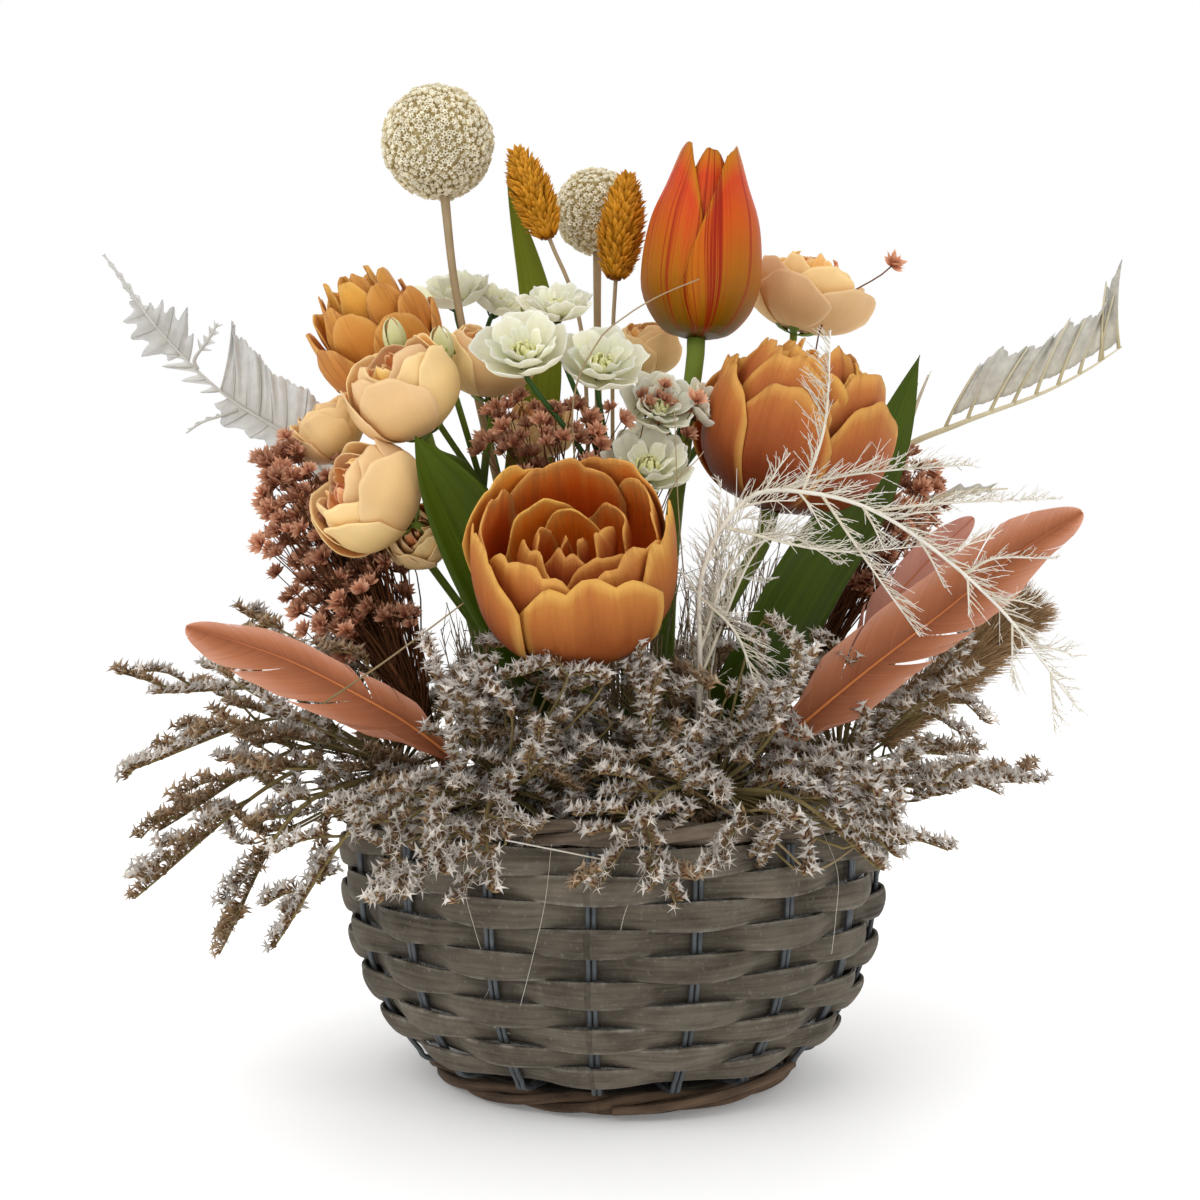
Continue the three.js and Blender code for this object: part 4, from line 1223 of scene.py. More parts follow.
FULL_TULIP = (
    Whorl(6, ((4, 0), (20, 4), (31, 15), (34, 28), (33.5, 38), (32, 46)), 36, 0.3, 2.0, 1, 0, -0.02, 2.0, 0.7,
          0, 1.1, 2.2),
    Whorl(5, ((4, 2), (16, 6), (25.5, 18), (29.5, 33), (29, 45), (27, 54)), 38, 0.26, 2.0, 2, 0.03, 0.02, 1.6,
          0.9, 36, 1.0, 1.6),
    Whorl(6, ((3, 3), (12, 9), (21.5, 22), (25, 38), (22.5, 51), (17, 58)), 34, 0.26, 2.0, 3, 0.07, 0.05, 2.2,
          1.6, 12, 1.0, 1.6),
    Whorl(6, ((2, 4), (9, 12), (17, 25), (20.5, 41), (18, 54), (13.5, 61)), 33, 0.26, 2.0, 3, 0.08, 0.1, 2.4,
          2.0, 42, 1.0, 1.6),
    Whorl(5, ((1, 4), (5, 14), (10, 29), (12.5, 43), (10.5, 54), (8, 60)), 38, 0.28, 1.8, 3, 0.1, 0.14, 2.2,
          2.0, 10, 0.9, 1.6),
)
SCALY_TULIP = (
    Whorl(5, ((4, 0), (19, 4), (29, 14), (33, 25), (34, 36)), 35, 0.42, 2.1, 1, 0, 0.02, 1.4, 0.6, 0, 1.1),
    Whorl(5, ((4, 2), (17, 6), (26, 18), (29.5, 31), (30, 44)), 34, 0.42, 2.1, 1, 0, 0.02, 1.4, 0.6, 36, 1.1),
    Whorl(5, ((3, 3), (13, 9), (21.5, 22), (25, 37), (24.5, 51)), 34, 0.4, 2.1, 1, 0, 0.02, 1.4, 0.7, 12,
          1.0),
    Whorl(5, ((2, 4), (9, 12), (16, 26), (19.5, 42), (18, 57)), 36, 0.4, 2.1, 1, 0, 0.03, 1.2, 0.8, 48, 1.0),
    Whorl(4, ((1, 4), (5, 14), (10.5, 29), (12.5, 45), (10, 61)), 46, 0.36, 2.0, 1, 0, 0.06, 1.2, 0.8, 10,
          0.9),
)
CLOSED_TULIP = (
    Whorl(3, ((4, 0), (13, 3), (20.5, 14), (22, 26), (20, 43), (15, 57), (10.5, 71)), 74, 0.7, 2.6, 1, 0, 0,
          -1.5, 0.3, 27, 1.0, 0.5),
    Whorl(3, ((3, 1), (11, 4), (18, 14), (19.5, 27), (17.5, 43), (13, 57), (8, 70)), 66, 0.66, 2.4, 1, 0, 0,
          -0.8, 0.3, 87, 1.0, 0.5),
    Whorl(3, ((2, 2), (6, 6), (10, 20), (11, 36), (8, 52), (4, 64)), 62, 0.5, 2.4, 1, 0, 0, 0.6, 0.3, 20, 0.9,
          0.5),
)
CUPPED_ROSE = (
    Whorl(5, ((2, 0), (9.5, 1.5), (17, 7), (19.5, 14), (18.8, 21), (18.8, 27.5)), 47, 0.3, 1.8, 1, 0, 0.02,
          1.5, 0.4, 0, 0.6),
    Whorl(4, ((2, 1), (8.5, 3), (14.5, 9), (17.2, 17), (16, 24), (14, 29.5)), 54, 0.28, 1.8, 1, 0, 0.02, 1.4,
          0.4, 36, 0.6),
    Whorl(3, ((1, 2), (6, 6), (11, 13), (13, 20), (11.4, 27), (9, 30)), 66, 0.26, 1.8, 1, 0, 0.03, 1.6, 0.5,
          15, 0.55),
)
OPEN_ROSE = (
    Whorl(5, ((2, 0), (9.5, 0.5), (17, 4), (22, 10), (25.5, 18)), 44, 0.3, 1.8, 1, 0, 0.02, 1.5, 0.6, 0, 0.6),
    Whorl(5, ((2, 1), (8.5, 2), (15, 7), (19, 14), (20.5, 23)), 43, 0.28, 1.8, 1, 0, 0.02, 1.4, 0.6, 36, 0.6),
    Whorl(4, ((1, 2), (6, 5), (11, 11), (13.5, 18), (13, 25)), 52, 0.26, 1.8, 1, 0, 0.03, 1.6, 0.6, 15, 0.55),
)
CRUMPLED_HEART = (
    Whorl(4, ((1, 3), (4, 9), (7.5, 16), (8.6, 22), (7.6, 26.5), (6, 28.5)), 44, 0.25, 2.0, 3, 0.06, 0.1, 1.4,
          0.9, 60, 0.5),
    Whorl(4, ((0.5, 4), (2, 11), (4, 18), (4.8, 23), (3.8, 26), (2.4, 27)), 46, 0.25, 1.8, 2, 0.1, 0.2, 1.2,
          0.7, 30, 0.5),
)
WHITE_LAYERS = (
    Whorl(5, ((0.8, 0), (4, 1.0), (9.5, 3.0), (14, 6.2), (16.8, 10.5)), 38, 0.22, 2.6, 2, 0.05, -0.04, 0.6,
          0.7, 0, 0.45),
    Whorl(5, ((0.8, 0.8), (3.4, 2.4), (7.4, 5.2), (10.8, 8.6), (13, 12.6)), 36, 0.22, 2.6, 2, 0.06, -0.04,
          0.6, 0.7, 36, 0.45),
    Whorl(5, ((0.6, 1.4), (2.4, 3.4), (4.8, 6), (6.8, 8.8), (8, 11.8)), 32, 0.22, 2.4, 2, 0.06, -0.04, 0.5,
          0.6, 14, 0.4),
)
WHITE_HEART = (
    Whorl(6, ((0.2, 2), (2.6, 3.6), (3.7, 5.4), (3.3, 7.4), (2.2, 8.6)), 25, 0.25, 2.0, 2, 0.14, -0.2, 0.3,
          0.35, 10, 0.7),
    Whorl(5, ((0.2, 3), (1.5, 4.8), (2.1, 6.8), (1.7, 8.8), (0.8, 9.6)), 30, 0.25, 2.0, 2, 0.14, -0.2, 0.3,
          0.3, 40, 0.7),
)

# The outer face darkens towards the base: partly the petals' own colour, partly painted shade on the lower
# petals.
DOUBLE_TULIP = PetalFinish(
    "double tulip petal",
    stops((0.0, 0x743A10), (0.2, 0x7C3C18), (0.5, 0x8E4622), (0.8, 0xB86A34), (1.0, 0xCE8C42)),
    stops((0.0, 0x96260A), (0.4, 0xCA4A0E), (0.72, 0xE06E1C), (1.0, 0xEA9A44)),
    tint(0xDEA656), 0.16, tint(0x8E3A1C), 0.3, 0.0007, 0.55, 0.08, 0.1)
COPPER_TULIP = PetalFinish(
    "copper tulip petal",
    stops((0.0, 0xAC6620), (0.3, 0xC67A2A), (0.7, 0xD68E3A), (1.0, 0xDEA24E)),
    stops((0.0, 0x8E2E08), (0.5, 0xB85A14), (1.0, 0xD0822A)),
    tint(0xDCA458), 0.14, tint(0x9C4812), 0.4, 0.0007, 0.55, 0.06, 0.1)
BUD = PetalFinish(
    "tulip bud petal",
    stops((0.0, 0x625C02), (0.12, 0x8C5E02), (0.34, 0xB06606), (0.56, 0xC6560E), (0.8, 0xD04212),
          (1.0, 0xD64C14)),
    stops((0.0, 0xA07008), (0.5, 0xC8560E), (1.0, 0xD05A14)),
    tint(0xBE7C0A), 0.34, tint(0x961E06), 0.95, 0.0004, 0.45, 0.06, 0.0, (42.0, 0.3))
ROSE = PetalFinish(
    "rose petal",
    stops((0.0, 0xD2AC6A), (0.35, 0xE9C384), (0.75, 0xF4D094), (1.0, 0xF8D8A2)),
    stops((0.0, 0xF08A3C), (0.45, 0xFAB062), (0.8, 0xFCC888), (1.0, 0xFAD49A)),
    tint(0xFBDAA2), 0.08, tint(0xE6B478), 0.12, 0.0002, 0.6, 0.16, 0.12)
ROSE_HEART = PetalFinish(
    "rose heart petal",
    stops((0.0, 0xF08040), (0.6, 0xFAAE5C), (1.0, 0xFCCB84)),
    stops((0.0, 0xF07440), (0.6, 0xFAA05A), (1.0, 0xFAC078)),
    tint(0xFAD09A), 0.1, tint(0xE07A4C), 0.3, 0.0003, 0.6, 0.16, 0.3)
WHITE = PetalFinish(
    "white petal",
    stops((0.0, 0xDCDDB0), (0.35, 0xF0EFD8), (1.0, 0xF8F7EC)),
    stops((0.0, 0xDEDFA8), (0.3, 0xF2F1D6), (1.0, 0xFAF9EE)),
    tint(0xFCFCF4), 0.12, tint(0xE6E8CE), 0.2, 0.0003, 0.6, 0.46)
ROSE_BUD = DryFinish("pale rose bud", stops((0.0, 0x7E8E3E), (0.35, 0xC8C88E), (1.0, 0xDED6A6)), 0.2, 0.2,
                     200.0, 0.6, 0.0001, 0.1)
PISTIL = DryFinish("cream heart", stops((0.0, 0xD2D27C), (0.5, 0xECEA9C), (1.0, 0xF6F4C0)), 0.2, 0.2, 300.0,
                   0.6, 0.0001, 0.25)
STEM = DryFinish("green stem", stops((0.0, 0x3A4C18), (0.6, 0x566A20), (1.0, 0x728434)), 0.2, 0.4, 90.0, 0.55,
                 0.0001)
WIRY = DryFinish("wiry green stem", stops((0.0, 0x2E4420), (1.0, 0x3C5A2C)), 0.2, 0.4, 90.0, 0.5, 0.0001)
SEPAL = DryFinish("sepal", stops((0.0, 0x4E6A2C), (1.0, 0x86963E)), 0.3, 0.4, 120.0, 0.6, 0.0002)
LEAF = LeafFinish("tulip leaf", tint(0x263604), tint(0x4C5E0A))
# A lighter copy of the tulip leaf colours for the back tulip's leaf: painted light falling on it from behind.
BACKLIT_LEAF = LeafFinish("backlit tulip leaf", tint(0x4E5A0C), tint(0x7C861E))


@dataclass(frozen=True)
class Bloom:
    """A bloom of petals on its own axis.

    Attributes:
        name: The solid it stands for.
        at: The middle of its base.
        axis: The way it faces.
        wide: Scale across.
        tall: Scale along its axis.
        turn: How far it is turned on its axis, in degrees.
    """

    name: str
    at: Place
    axis: Place
    wide: float = 1.0
    tall: float = 1.0
    turn: float = 0.0

    def finish(self, form: Form, finishes: Sequence[Finish], slot: str, solid: bool = True) -> None:
        """Place a form and build it.

        Args:
            form: The bloom, standing on the origin.
            finishes: The finish of each material slot.
            slot: The record's slot.
            solid: Whether a solid of this name stands for it.
        """
        turn = square_to(vector(self.axis), math.radians(self.turn))
        form.moved(turn, self.at).build(f"{self.name}_petals", finishes, [self.name] if solid else [], slot)

    def whorls(self, whorls: Sequence[Whorl], seed: int) -> Form:
        """Shape all the petals.

        Args:
            whorls: The rings of petals.
            seed: Seed of their small differences.

        Returns:
            The petals, standing on the origin.
        """
        draw = np.random.default_rng(seed)
        form = Form()
        for whorl in whorls:
            whorl.add(form, draw, self.wide, self.tall)
        return form


def sepals(form: Form, count: int, reach: float, length: float, slot: int, draw: Draw) -> None:
    """Add pointed green sepals under a bloom that stands on the origin.

    Args:
        form: The form that takes them.
        count: How many there are.
        reach: How far they stand out.
        length: How far they rise.
        slot: Their material slot.
        draw: Source of their small differences.
    """
    line = ((0.6, -2.2), (reach * 0.6, -1.0), (reach, length * 0.35), (reach * 1.12, length))
    whorl = Whorl(1, line, 22, 0.95, 1.4, lap=0, ruffle=0.3, thick=0.5)
    for index in range(count):
        part = Form()
        whorl.petal(part, index * TURN / count + 0.3, draw, 1.0, 1.0)
        form.join(part, slot)


def leaf(form: Form, path: Path, half: float, facing: Place, widest: float, slot: int, seed: int) -> None:
    """Add a long channelled leaf.

    Args:
        form: The form that takes it.
        path: Its middle line, from the stem to the tip.
        half: Half its widest width.
        facing: The way its inner face looks.
        widest: Where it is widest, as a share of its length.
        slot: Its material slot.
        seed: Seed of its small waves.
    """
    draw = np.random.default_rng(seed)
    line = Line(path)
    along, across = steps(60), np.linspace(-1, 1, 13)
    ahead = line.ahead(along)
    side = unit(np.cross(ahead, vector(facing)))
    face = np.cross(side, ahead)
    rise = 0.3 + 0.7 * np.sin(along / widest * math.pi / 2)
    fall = 1 - np.abs((along - widest) / (1 - widest)) ** 2.3
    wide = half * np.maximum(np.where(along < widest, rise, fall), 0.012)
    channel = wide * (0.3 + 0.5 * (1 - along) ** 3)
    wave = 0.8 * np.sin(along * draw.uniform(8, 12) + draw.uniform(0, TURN))[:, None] * across
    lift = channel[:, None] * across**2 + wave
    points = line.at(along)[:, None] + side[:, None] * (wide[:, None] * across)[..., None]
    thick = 0.9 * (1 - 0.5 * across**4)[None] * (1 - 0.6 * along[:, None] ** 4)
    values = readings(along[:, None], across, draw.uniform())
    form.sheet(points + face[:, None] * lift[..., None], values, thick, slot)


@dataclass(frozen=True)
class Tulip(Bloom):
    """A tulip with its stem, and with a leaf where it is a double one.

    Attributes:
        root: Where its stem leaves the foam.
        path: The stem's free points.
        leaf: The leaf's middle line, half width, facing and widest place, or nothing.
        seed: Seed of its small differences.
        layers: Its rings of petals.
        look: The finish of its petals, and foliage that of its leaf.
    """

    root: Place = (0, 0)
    path: Path = ()
    leaf: tuple[Path, float, Place, float] | None = None
    seed: int = 1
    layers: tuple[Whorl, ...] = ()
    look: Finish | None = None
    foliage: Finish = LEAF

    def build(self) -> None:
        """Build the bloom, and the stem with its leaf."""
        double = self.leaf is not None
        petals = self.whorls(self.layers, self.seed)
        self.finish(petals, [self.look], "double_tulip" if double else "tulip_bud")
        stem = Form()
        way = unit(vector(self.axis))
        line = stem_line(self.root, [*self.path, np.array(self.at) - way * 14, np.array(self.at) - way * 0.6])
        share = steps(40)
        stem.tube(line.at(share), 3.0 + 0.5 * share**6, 14)
        if double:
            leaf(stem, *self.leaf, 1, self.seed)
        looks, nodes = [STEM, self.foliage], [f"{self.name}_stem"]
        stem.build(f"{self.name}_stalk", looks, nodes, "leaf" if double else "green_stem")


TULIPS = (
    Tulip("tulip_front", (-12, -59, 163), (-0.04, -0.7, 0.71), 0.97, 0.86, 64, (-8, -44),
          ((-9, -48, 112), (-11, -52, 138)),
          (((-10.5, -51, 122), (-24, -46, 148), (-38, -46, 175), (-50, -54, 200), (-66, -68, 226)), 13.5,
           (-0.2, -1, 0.1), 0.6),
          3, OPEN_TULIP, DOUBLE_TULIP),
    Tulip("tulip_right", (57, -14, 205), (0.25, -0.1, 0.96), 1, 1.02, 9, (22, -22),
          ((27, -21, 125), (36, -19, 160)),
          (((25, -21, 108), (38, -33, 132), (53, -36, 156), (69, -31, 182), (87, -16, 206), (103, 4, 232),
            (118, 18, 266)),
           13, (0.3, -1, 0), 0.42), 5, FULL_TULIP, DOUBLE_TULIP),
    Tulip("tulip_back", (-80, 17, 252), (-0.42, -0.22, 0.86), 0.74, 0.8, 70, (-36, 16),
          ((-44, 16, 128), (-60, 16, 190)),
          (((-42, 16, 118), (-38, 24, 160), (-33, 27, 220), (-28, 26, 275), (-41, 23, 336)), 9, (0, -1, 0),
           0.45),
          8, SCALY_TULIP, COPPER_TULIP, BACKLIT_LEAF),
    Tulip("tulip_bud", (31, 0, 270), (0.08, 0, 1), 1, 1, 0, (12, 2), ((15, 3, 130), (21, 4, 190)), None, 11,
          CLOSED_TULIP, BUD),
)


class Kind(Enum):
    """What a branched stem bears."""

    ROSE = "rose"
    BLOSSOM = "blossom"


@dataclass(frozen=True)
class Cluster:
    """Roses or white blossoms on one branched stem.

    Attributes:
        stem: The solid its stem stands for.
        kind: What it bears.
        root: Where the stem leaves the foam.
        trunk: The stem's free points.
        blooms: Name, scale, place, axis and fork point on the trunk of each bloom.
        buds: Middle and tip point of each small green bud's twig, and the way it points.
    """

    stem: str
    kind: Kind
    root: Place
    trunk: Path
    blooms: tuple[tuple[str, float, Place, Place, int], ...]
    buds: tuple[tuple[Place, Place, Place], ...] = ()

    def flower(self, name: str, size: float, at: Place, axis: Place, seed: int) -> None:
        """Build one rose or white blossom.

        Args:
            name: The solid it stands for, or its own name where it has none.
            size: Its scale.
            at: The middle of its base.
            axis: The way it faces.
            seed: Seed of its small differences.
        """
        draw = np.random.default_rng(seed)
        bloom = Bloom(name, at, axis, size, size, draw.uniform(0, 360))
        solid = bpy.data.objects.get(name) is not None
        if self.kind is Kind.ROSE:
            layers, heart = OPEN_ROSE if name == "rose_right" else CUPPED_ROSE, CRUMPLED_HEART
            reach, length, looks, slot = 10, 9, [ROSE, ROSE_HEART, SEPAL], "rose_petal"
        else:
            layers, heart = WHITE_LAYERS, WHITE_HEART
            reach, length, looks, slot = 3.2, 2.0, [WHITE, PISTIL, WIRY], "white_petal"
        form = bloom.whorls(layers, seed)
        form.join(bloom.whorls(heart, seed + 500), 1)
        sepals(form, 5, reach * size, length * size, 2, draw)
        bloom.finish(form, looks, slot, solid)

    def bud(self, draw: Draw) -> Form:
        """Shape a small green bud with its sepals.

        Args:
            draw: Source of its small differences.

        Returns:
            The bud, standing on the origin.
        """
        petals, bud = Form(), Form()
        BUD_WHORL.add(petals, draw)
        bud.join(petals, 2)
        sepals(bud, 4, 3.4, -3.4, 1, draw)
        return bud

    def build(self, seed: int) -> None:
        """Build the flowers, then the stem with its forks and buds.

        Args:
            seed: Seed of the first flower; each next flower takes the next number.
        """
        thick, run = (1.9, 9.0) if self.kind is Kind.ROSE else (1.3, 7.0)
        form = Form()
        form.tube(stem_line(self.root, self.trunk).even(40), thick, 10, 0.4)
        for index, (name, size, at, axis, fork) in enumerate(self.blooms):
            self.flower(name, size, at, axis, seed + index)
            way = unit(vector(axis))
            start, end = vector(self.trunk[fork]), vector(at)
            bend = start + (end - way * run - start) * 0.45 + [0, 0, 3]
            branch = Line([start, bend, end - way * run, end - way * 0.6])
            form.tube(branch.even(20), thick * 0.8, 8, 0.6)
        draw = np.random.default_rng(seed)
        for middle, at, axis in self.buds:
            way = unit(vector(axis))
            form.tube(Line([self.trunk[-1], middle, vector(at) - way * 5]).even(16), 1.2, 7, 0.6)
            form.join(self.bud(draw).moved(square_to(way), at))
        green = STEM if self.kind is Kind.ROSE else WIRY
        form.build(f"{self.stem}_twigs", [green, SEPAL, ROSE_BUD], [self.stem], "green_stem")


BUD_WHORL = Whorl(4, ((0.6, -7), (3.2, -4), (3.9, 0), (2.6, 4.5), (0.3, 7)), 48, 0.5, 2.2, lap=0.4,
                  ruffle=0.1, thick=0.5)
CLUSTERS = (
    Cluster("rose_stem_left", Kind.ROSE, (-26, -12), ((-31, -14, 130), (-40, -18, 175), (-47, -22, 212)), (
        ("rose_upper", 1, (-66, -41, 231), (-0.42, -0.42, 0.8), 2),
        ("rose_left", 1.02, (-72, -42, 200), (-0.76, -0.46, 0.45), 1),
        ("rose_bud_left", 0.68, (-97, -20, 224), (-0.55, -0.2, 0.8), 1),
        ("rose_middle", 0.86, (-45, -9, 247), (-0.02, -0.25, 0.97), 2),
        ("rose_shaded", 0.6, (-68, -26, 190), (-0.1, -0.75, 0.4), 0),
    ), (
        ((-66, -15, 240), (-79, -20, 267), (-0.2, 0, 1)),
        ((-55, -27, 240), (-61, -30, 262), (-0.1, -0.1, 1)),
    )),
    Cluster("rose_stem_right", Kind.ROSE, (20, 28), ((22, 33, 130), (24, 38, 180), (28, 42, 225)), (
        ("rose_right", 1.08, (73, 45, 281), (0.3, -0.1, 0.95), 2),
        ("rose_behind", 0.7, (13, 46, 262), (0, -0.3, 0.95), 2),
        ("rose_inner", 0.62, (-27, 10, 228), (0.05, -0.5, 0.86), 0),
    )),
    Cluster("white_stem_front", Kind.BLOSSOM, (4, -18), ((4, -21, 130), (3, -25, 175), (0, -28, 205)), (
        ("white_left", 1, (-30, -51, 252), (-0.1, -0.72, 0.69), 2),
        ("white_centre", 0.96, (-5, -38, 250), (0.1, -0.74, 0.66), 2),
        ("white_upper", 0.82, (-21, -25, 272), (0, -0.5, 0.87), 2),
        ("white_right", 0.82, (15, -25, 238), (0.2, -0.8, 0.56), 2),
        ("white_lower", 1, (11, -33, 215), (0.1, -0.72, 0.69), 1),
        ("white_right_behind", 0.7, (30, -22, 238), (0.7, -0.4, 0.5), 1),
    )),
    Cluster("white_stem_back", Kind.BLOSSOM, (-22, 32), ((-27, 35, 130), (-38, 39, 190), (-50, 44, 240)), (
        ("white_back", 0.92, (-63, 47, 290), (-0.1, -0.5, 0.86), 2),
        ("white_back_behind", 0.74, (-48, 50, 288), (0.35, -0.4, 0.8), 2),
    )),
)


# ---------------------------------------------------------------- dried flowers

IVORY = DryFinish("ivory floret", stops((0.0, 0xE2CE9A), (0.45, 0xF7EBC6), (1.0, 0xFFFAE8)), 0.2, 0.2, 260.0,
                  0.85, 0.0001, 0.14)
IVORY_CORE = DryFinish("ivory core", stops((0.0, 0xD0C090), (1.0, 0xE4D6AA)), 0.1, 0.4, 260.0)
TAN_STEM = DryFinish("tan stem", stops((0.0, 0x7E6A48), (1.0, 0xA49070)), 0.25, 0.4, 160.0, 0.75)
OCHRE = DryFinish("ochre bract", stops((0.0, 0x8E5408), (0.4, 0xBC7C12), (1.0, 0xE2A43A)), 0.5, 0.3, 260.0,
                  0.75, 0.0001, 0.1)
PINK_BARB = DryFinish("salmon barb", stops((0.0, 0x8E5236), (0.5, 0xB47250), (1.0, 0xD49C82)), 0.12, 0.1,
                      150.0, 0.75, 0.0001, 0.15)
PALE_BARB = DryFinish("blush barb", stops((0.0, 0xC08674), (1.0, 0xCC9684)), 0.16, 0.1, 150.0, 0.75, 0.0001,
                      0.15)
SHAFT = DryFinish("orange shaft", stops((0.0, 0xC8783C), (0.7, 0xC07442), (1.0, 0xA86244)), 0.1, 0.2, 120.0,
                  0.5)
FROND = DryFinish("bleached web", stops((0.0, 0xD6D0C0), (1.0, 0xDEDCD4)), 0.2, 0.5, 300.0, 0.8, 0.0003, 0.35)
GREY_FROND = DryFinish("grey web", stops((0.0, 0xCECBC4), (0.5, 0xDAD8D3), (1.0, 0xE2E1DE)), 0.2, 0.35, 240.0,
                       0.8, 0.0003, 0.3)
GREY_BONE = DryFinish("grey rib", stops((0.0, 0xB4B0A6), (1.0, 0xC8C6C0)), 0.2, 0.3, 160.0, 0.8)
BONE = DryFinish("bleached rib", stops((0.0, 0xB8AC86), (1.0, 0xD6CDB2)), 0.2, 0.3, 160.0, 0.75)
HAZE = DryFinish("dried haze", stops((0.0, 0x5E4C34), (1.0, 0x9C8870)), 0.8, 0.3, 160.0, 0.85)
BLEACHED = DryFinish("bleached twig", stops((0.0, 0xDCD2BA), (1.0, 0xF6F2EA)), 0.12, 0.2, 160.0, 0.75, 0.0001,
                     0.1)
FUZZ = DryFinish("brown fuzz", stops((0.0, 0x6E5030), (0.5, 0x9E7C54), (1.0, 0xC4A47C)), 0.5, 0.3, 160.0, 0.9,
                 0.0001, 0.2)
STAR = DryFinish("dusty bract", stops((0.0, 0x8E5038), (0.4, 0xB87A5C), (1.0, 0xE6B898)), 0.5, 0.3, 260.0,
                 0.85, 0.0001, 0.15)
HAIR_STEM = DryFinish("dark hair stem", stops((0.0, 0x4E2E1A), (1.0, 0x6C4228)), 0.5, 0.2, 200.0, 0.7)
PAPER = DryFinish(
    "papery floret",
    stops((0.0, 0x6E5238), (0.34, 0x6A4038), (0.46, 0xB09A84), (0.62, 0xE6DACC), (1.0, 0xFCF7F0)),
    0.45, 0.2, 300.0, 0.85, 0.0001, 0.3)
RUSSET = DryFinish("russet floret", stops((0.0, 0x624428), (0.4, 0x886244), (0.7, 0xB08C68), (1.0, 0xD6C0A4)),
                   0.45, 0.3, 300.0, 0.85, 0.0001, 0.15)
BRACT = DryFinish("brown bract", stops((0.0, 0x6E5436), (1.0, 0xAE9270)), 0.5, 0.3, 300.0, 0.85, 0.0001, 0.1)
OLIVE_TWIG = DryFinish("olive twig", stops((0.0, 0x6A5E3C), (1.0, 0x84744C)), 0.3, 0.4, 140.0, 0.8)


def sphere_places(count: int, draw: Draw) -> Array:
    """Spread directions evenly over a ball, with a little disorder.

    Args:
        count: How many.
        draw: Source of the disorder.

    Returns:
        The directions.
    """
    index = np.arange(count) + 0.5
    z = 1 - 2 * index / count
    angle = index * math.pi * (3 - math.sqrt(5))
    flat = np.sqrt(1 - z * z)
    ways = np.stack([flat * np.cos(angle), flat * np.sin(angle), z], axis=-1)
    return unit(ways + draw.normal(0, 0.02, (count, 3)))


def cup(rings: Sequence[tuple[float, float, float]], lobes: int) -> Form:
    """Shape a small floret.

    Args:
        rings: Radius, height and how far the lobes stand out, from its foot to its rim.
        lobes: Number of lobes.

    Returns:
        The floret, standing on the origin.
    """
    angle = np.arange(lobes * 2) * math.pi / lobes
    tips = (np.arange(lobes * 2) % 2 == 0).astype(float)
    rows = []
    for radius, height, stand in rings:
        reach = radius + stand * (tips - 0.5)
        rise = height + 0.25 * stand * tips
        rows.append(np.stack([reach * np.cos(angle), reach * np.sin(angle), rise], axis=-1))
    form = Form()
    form.sheet(np.stack(rows), readings(steps(len(rings))[:, None], 0 * angle), ring=True)
    return form


def blade(length: float, half: float, fold: float, curl: float, rows: int = 5, slot: int = 0) -> Form:
    """Shape a small pointed bract along +Z.

    Args:
        length: Its length.
        half: Half its width.
        fold: How far it folds along its middle.
        curl: How far it curls towards +X.
        rows: How many points it has along.
        slot: Its material slot.

    Returns:
        The bract, standing on the origin.
    """
    along = steps(rows)[:, None]
    across = np.array([[-1.0, 0.0, 1.0]])
    wide = half * np.sin(math.pi * (0.12 + 0.88 * along)) ** 0.8
    x = curl * along**2 + fold * np.abs(across) * wide
    form = Form()
    points = np.stack(np.broadcast_arrays(x, across * wide, along * length), axis=-1)
    form.sheet(points, readings(along, across), 0.0, slot)
    return form


@dataclass(frozen=True)
class Globe:
    """A round head of tiny florets on a stiff stem.

    Attributes:
        name: The solid it stands for.
        radius: Its radius.
        centre: Its middle.
        root: Where its stem leaves the foam.
        path: The stem's free points.
        seed: Seed of the florets' small differences.
        crowd: Number of florets, as a multiple of the radius squared.
        core: Radius of the core, as a share of the head's.
    """

    name: str
    radius: float
    centre: Place
    root: Place
    path: Path
    seed: int
    crowd: float = 2.6
    core: float = 0.88

    def build(self) -> None:
        """Set the florets round a core, and add the stem."""
        draw = np.random.default_rng(self.seed)
        centre = vector(self.centre)
        form = Form()
        lat = np.linspace(0.02, math.pi - 0.02, 14)[:, None]
        lon = np.arange(24) * TURN / 24
        core = [np.sin(lat) * np.cos(lon), np.sin(lat) * np.sin(lon), -np.cos(lat)]
        core = np.stack(np.broadcast_arrays(*core), axis=-1) * self.radius * self.core
        form.sheet(centre + core, PLAIN, 0.0, 1, ring=True)
        places = sphere_places(int(self.crowd * self.radius**2), draw)
        shape = cup(((0.3, -1.4, 0), (0.5, 0.2, 0), (0.95, 1.0, 0.7), (0.7, 1.25, 0.3), (0.25, 0.75, 0)), 5)
        count = len(places)
        lift = self.radius * 0.96 + draw.uniform(-0.5, 0.9, count)
        turns = square_to(unit(places + draw.normal(0, 0.16, places.shape)), draw.uniform(0, TURN, count))
        sizes = draw.uniform(0.95, 1.4, count)
        form.scatter(shape, turns, centre + places * lift[:, None], sizes, draw.uniform(size=count))
        way = unit(centre - np.array(self.path[-1]))
        line = stem_line(self.root, [*self.path, centre - way * self.radius * 0.8])
        share = steps(36)
        form.tube(line.at(share), 1.45 + 0.5 * share**14, 9, 0.5, 2)
        form.build(f"{self.name}_head", [IVORY, IVORY_CORE, TAN_STEM], [self.name], "globe_flower")


GLOBES = (
    Globe("globe_flower_tall", 20, (-66.6, 12, 346), (-17, 6), ((-38, 8, 190), (-58, 10, 280)), 31),
    Globe("globe_flower_short", 16, (-6, 50, 329), (-4, 40), ((-5, 46, 200), (-6, 48, 283)), 32),
)


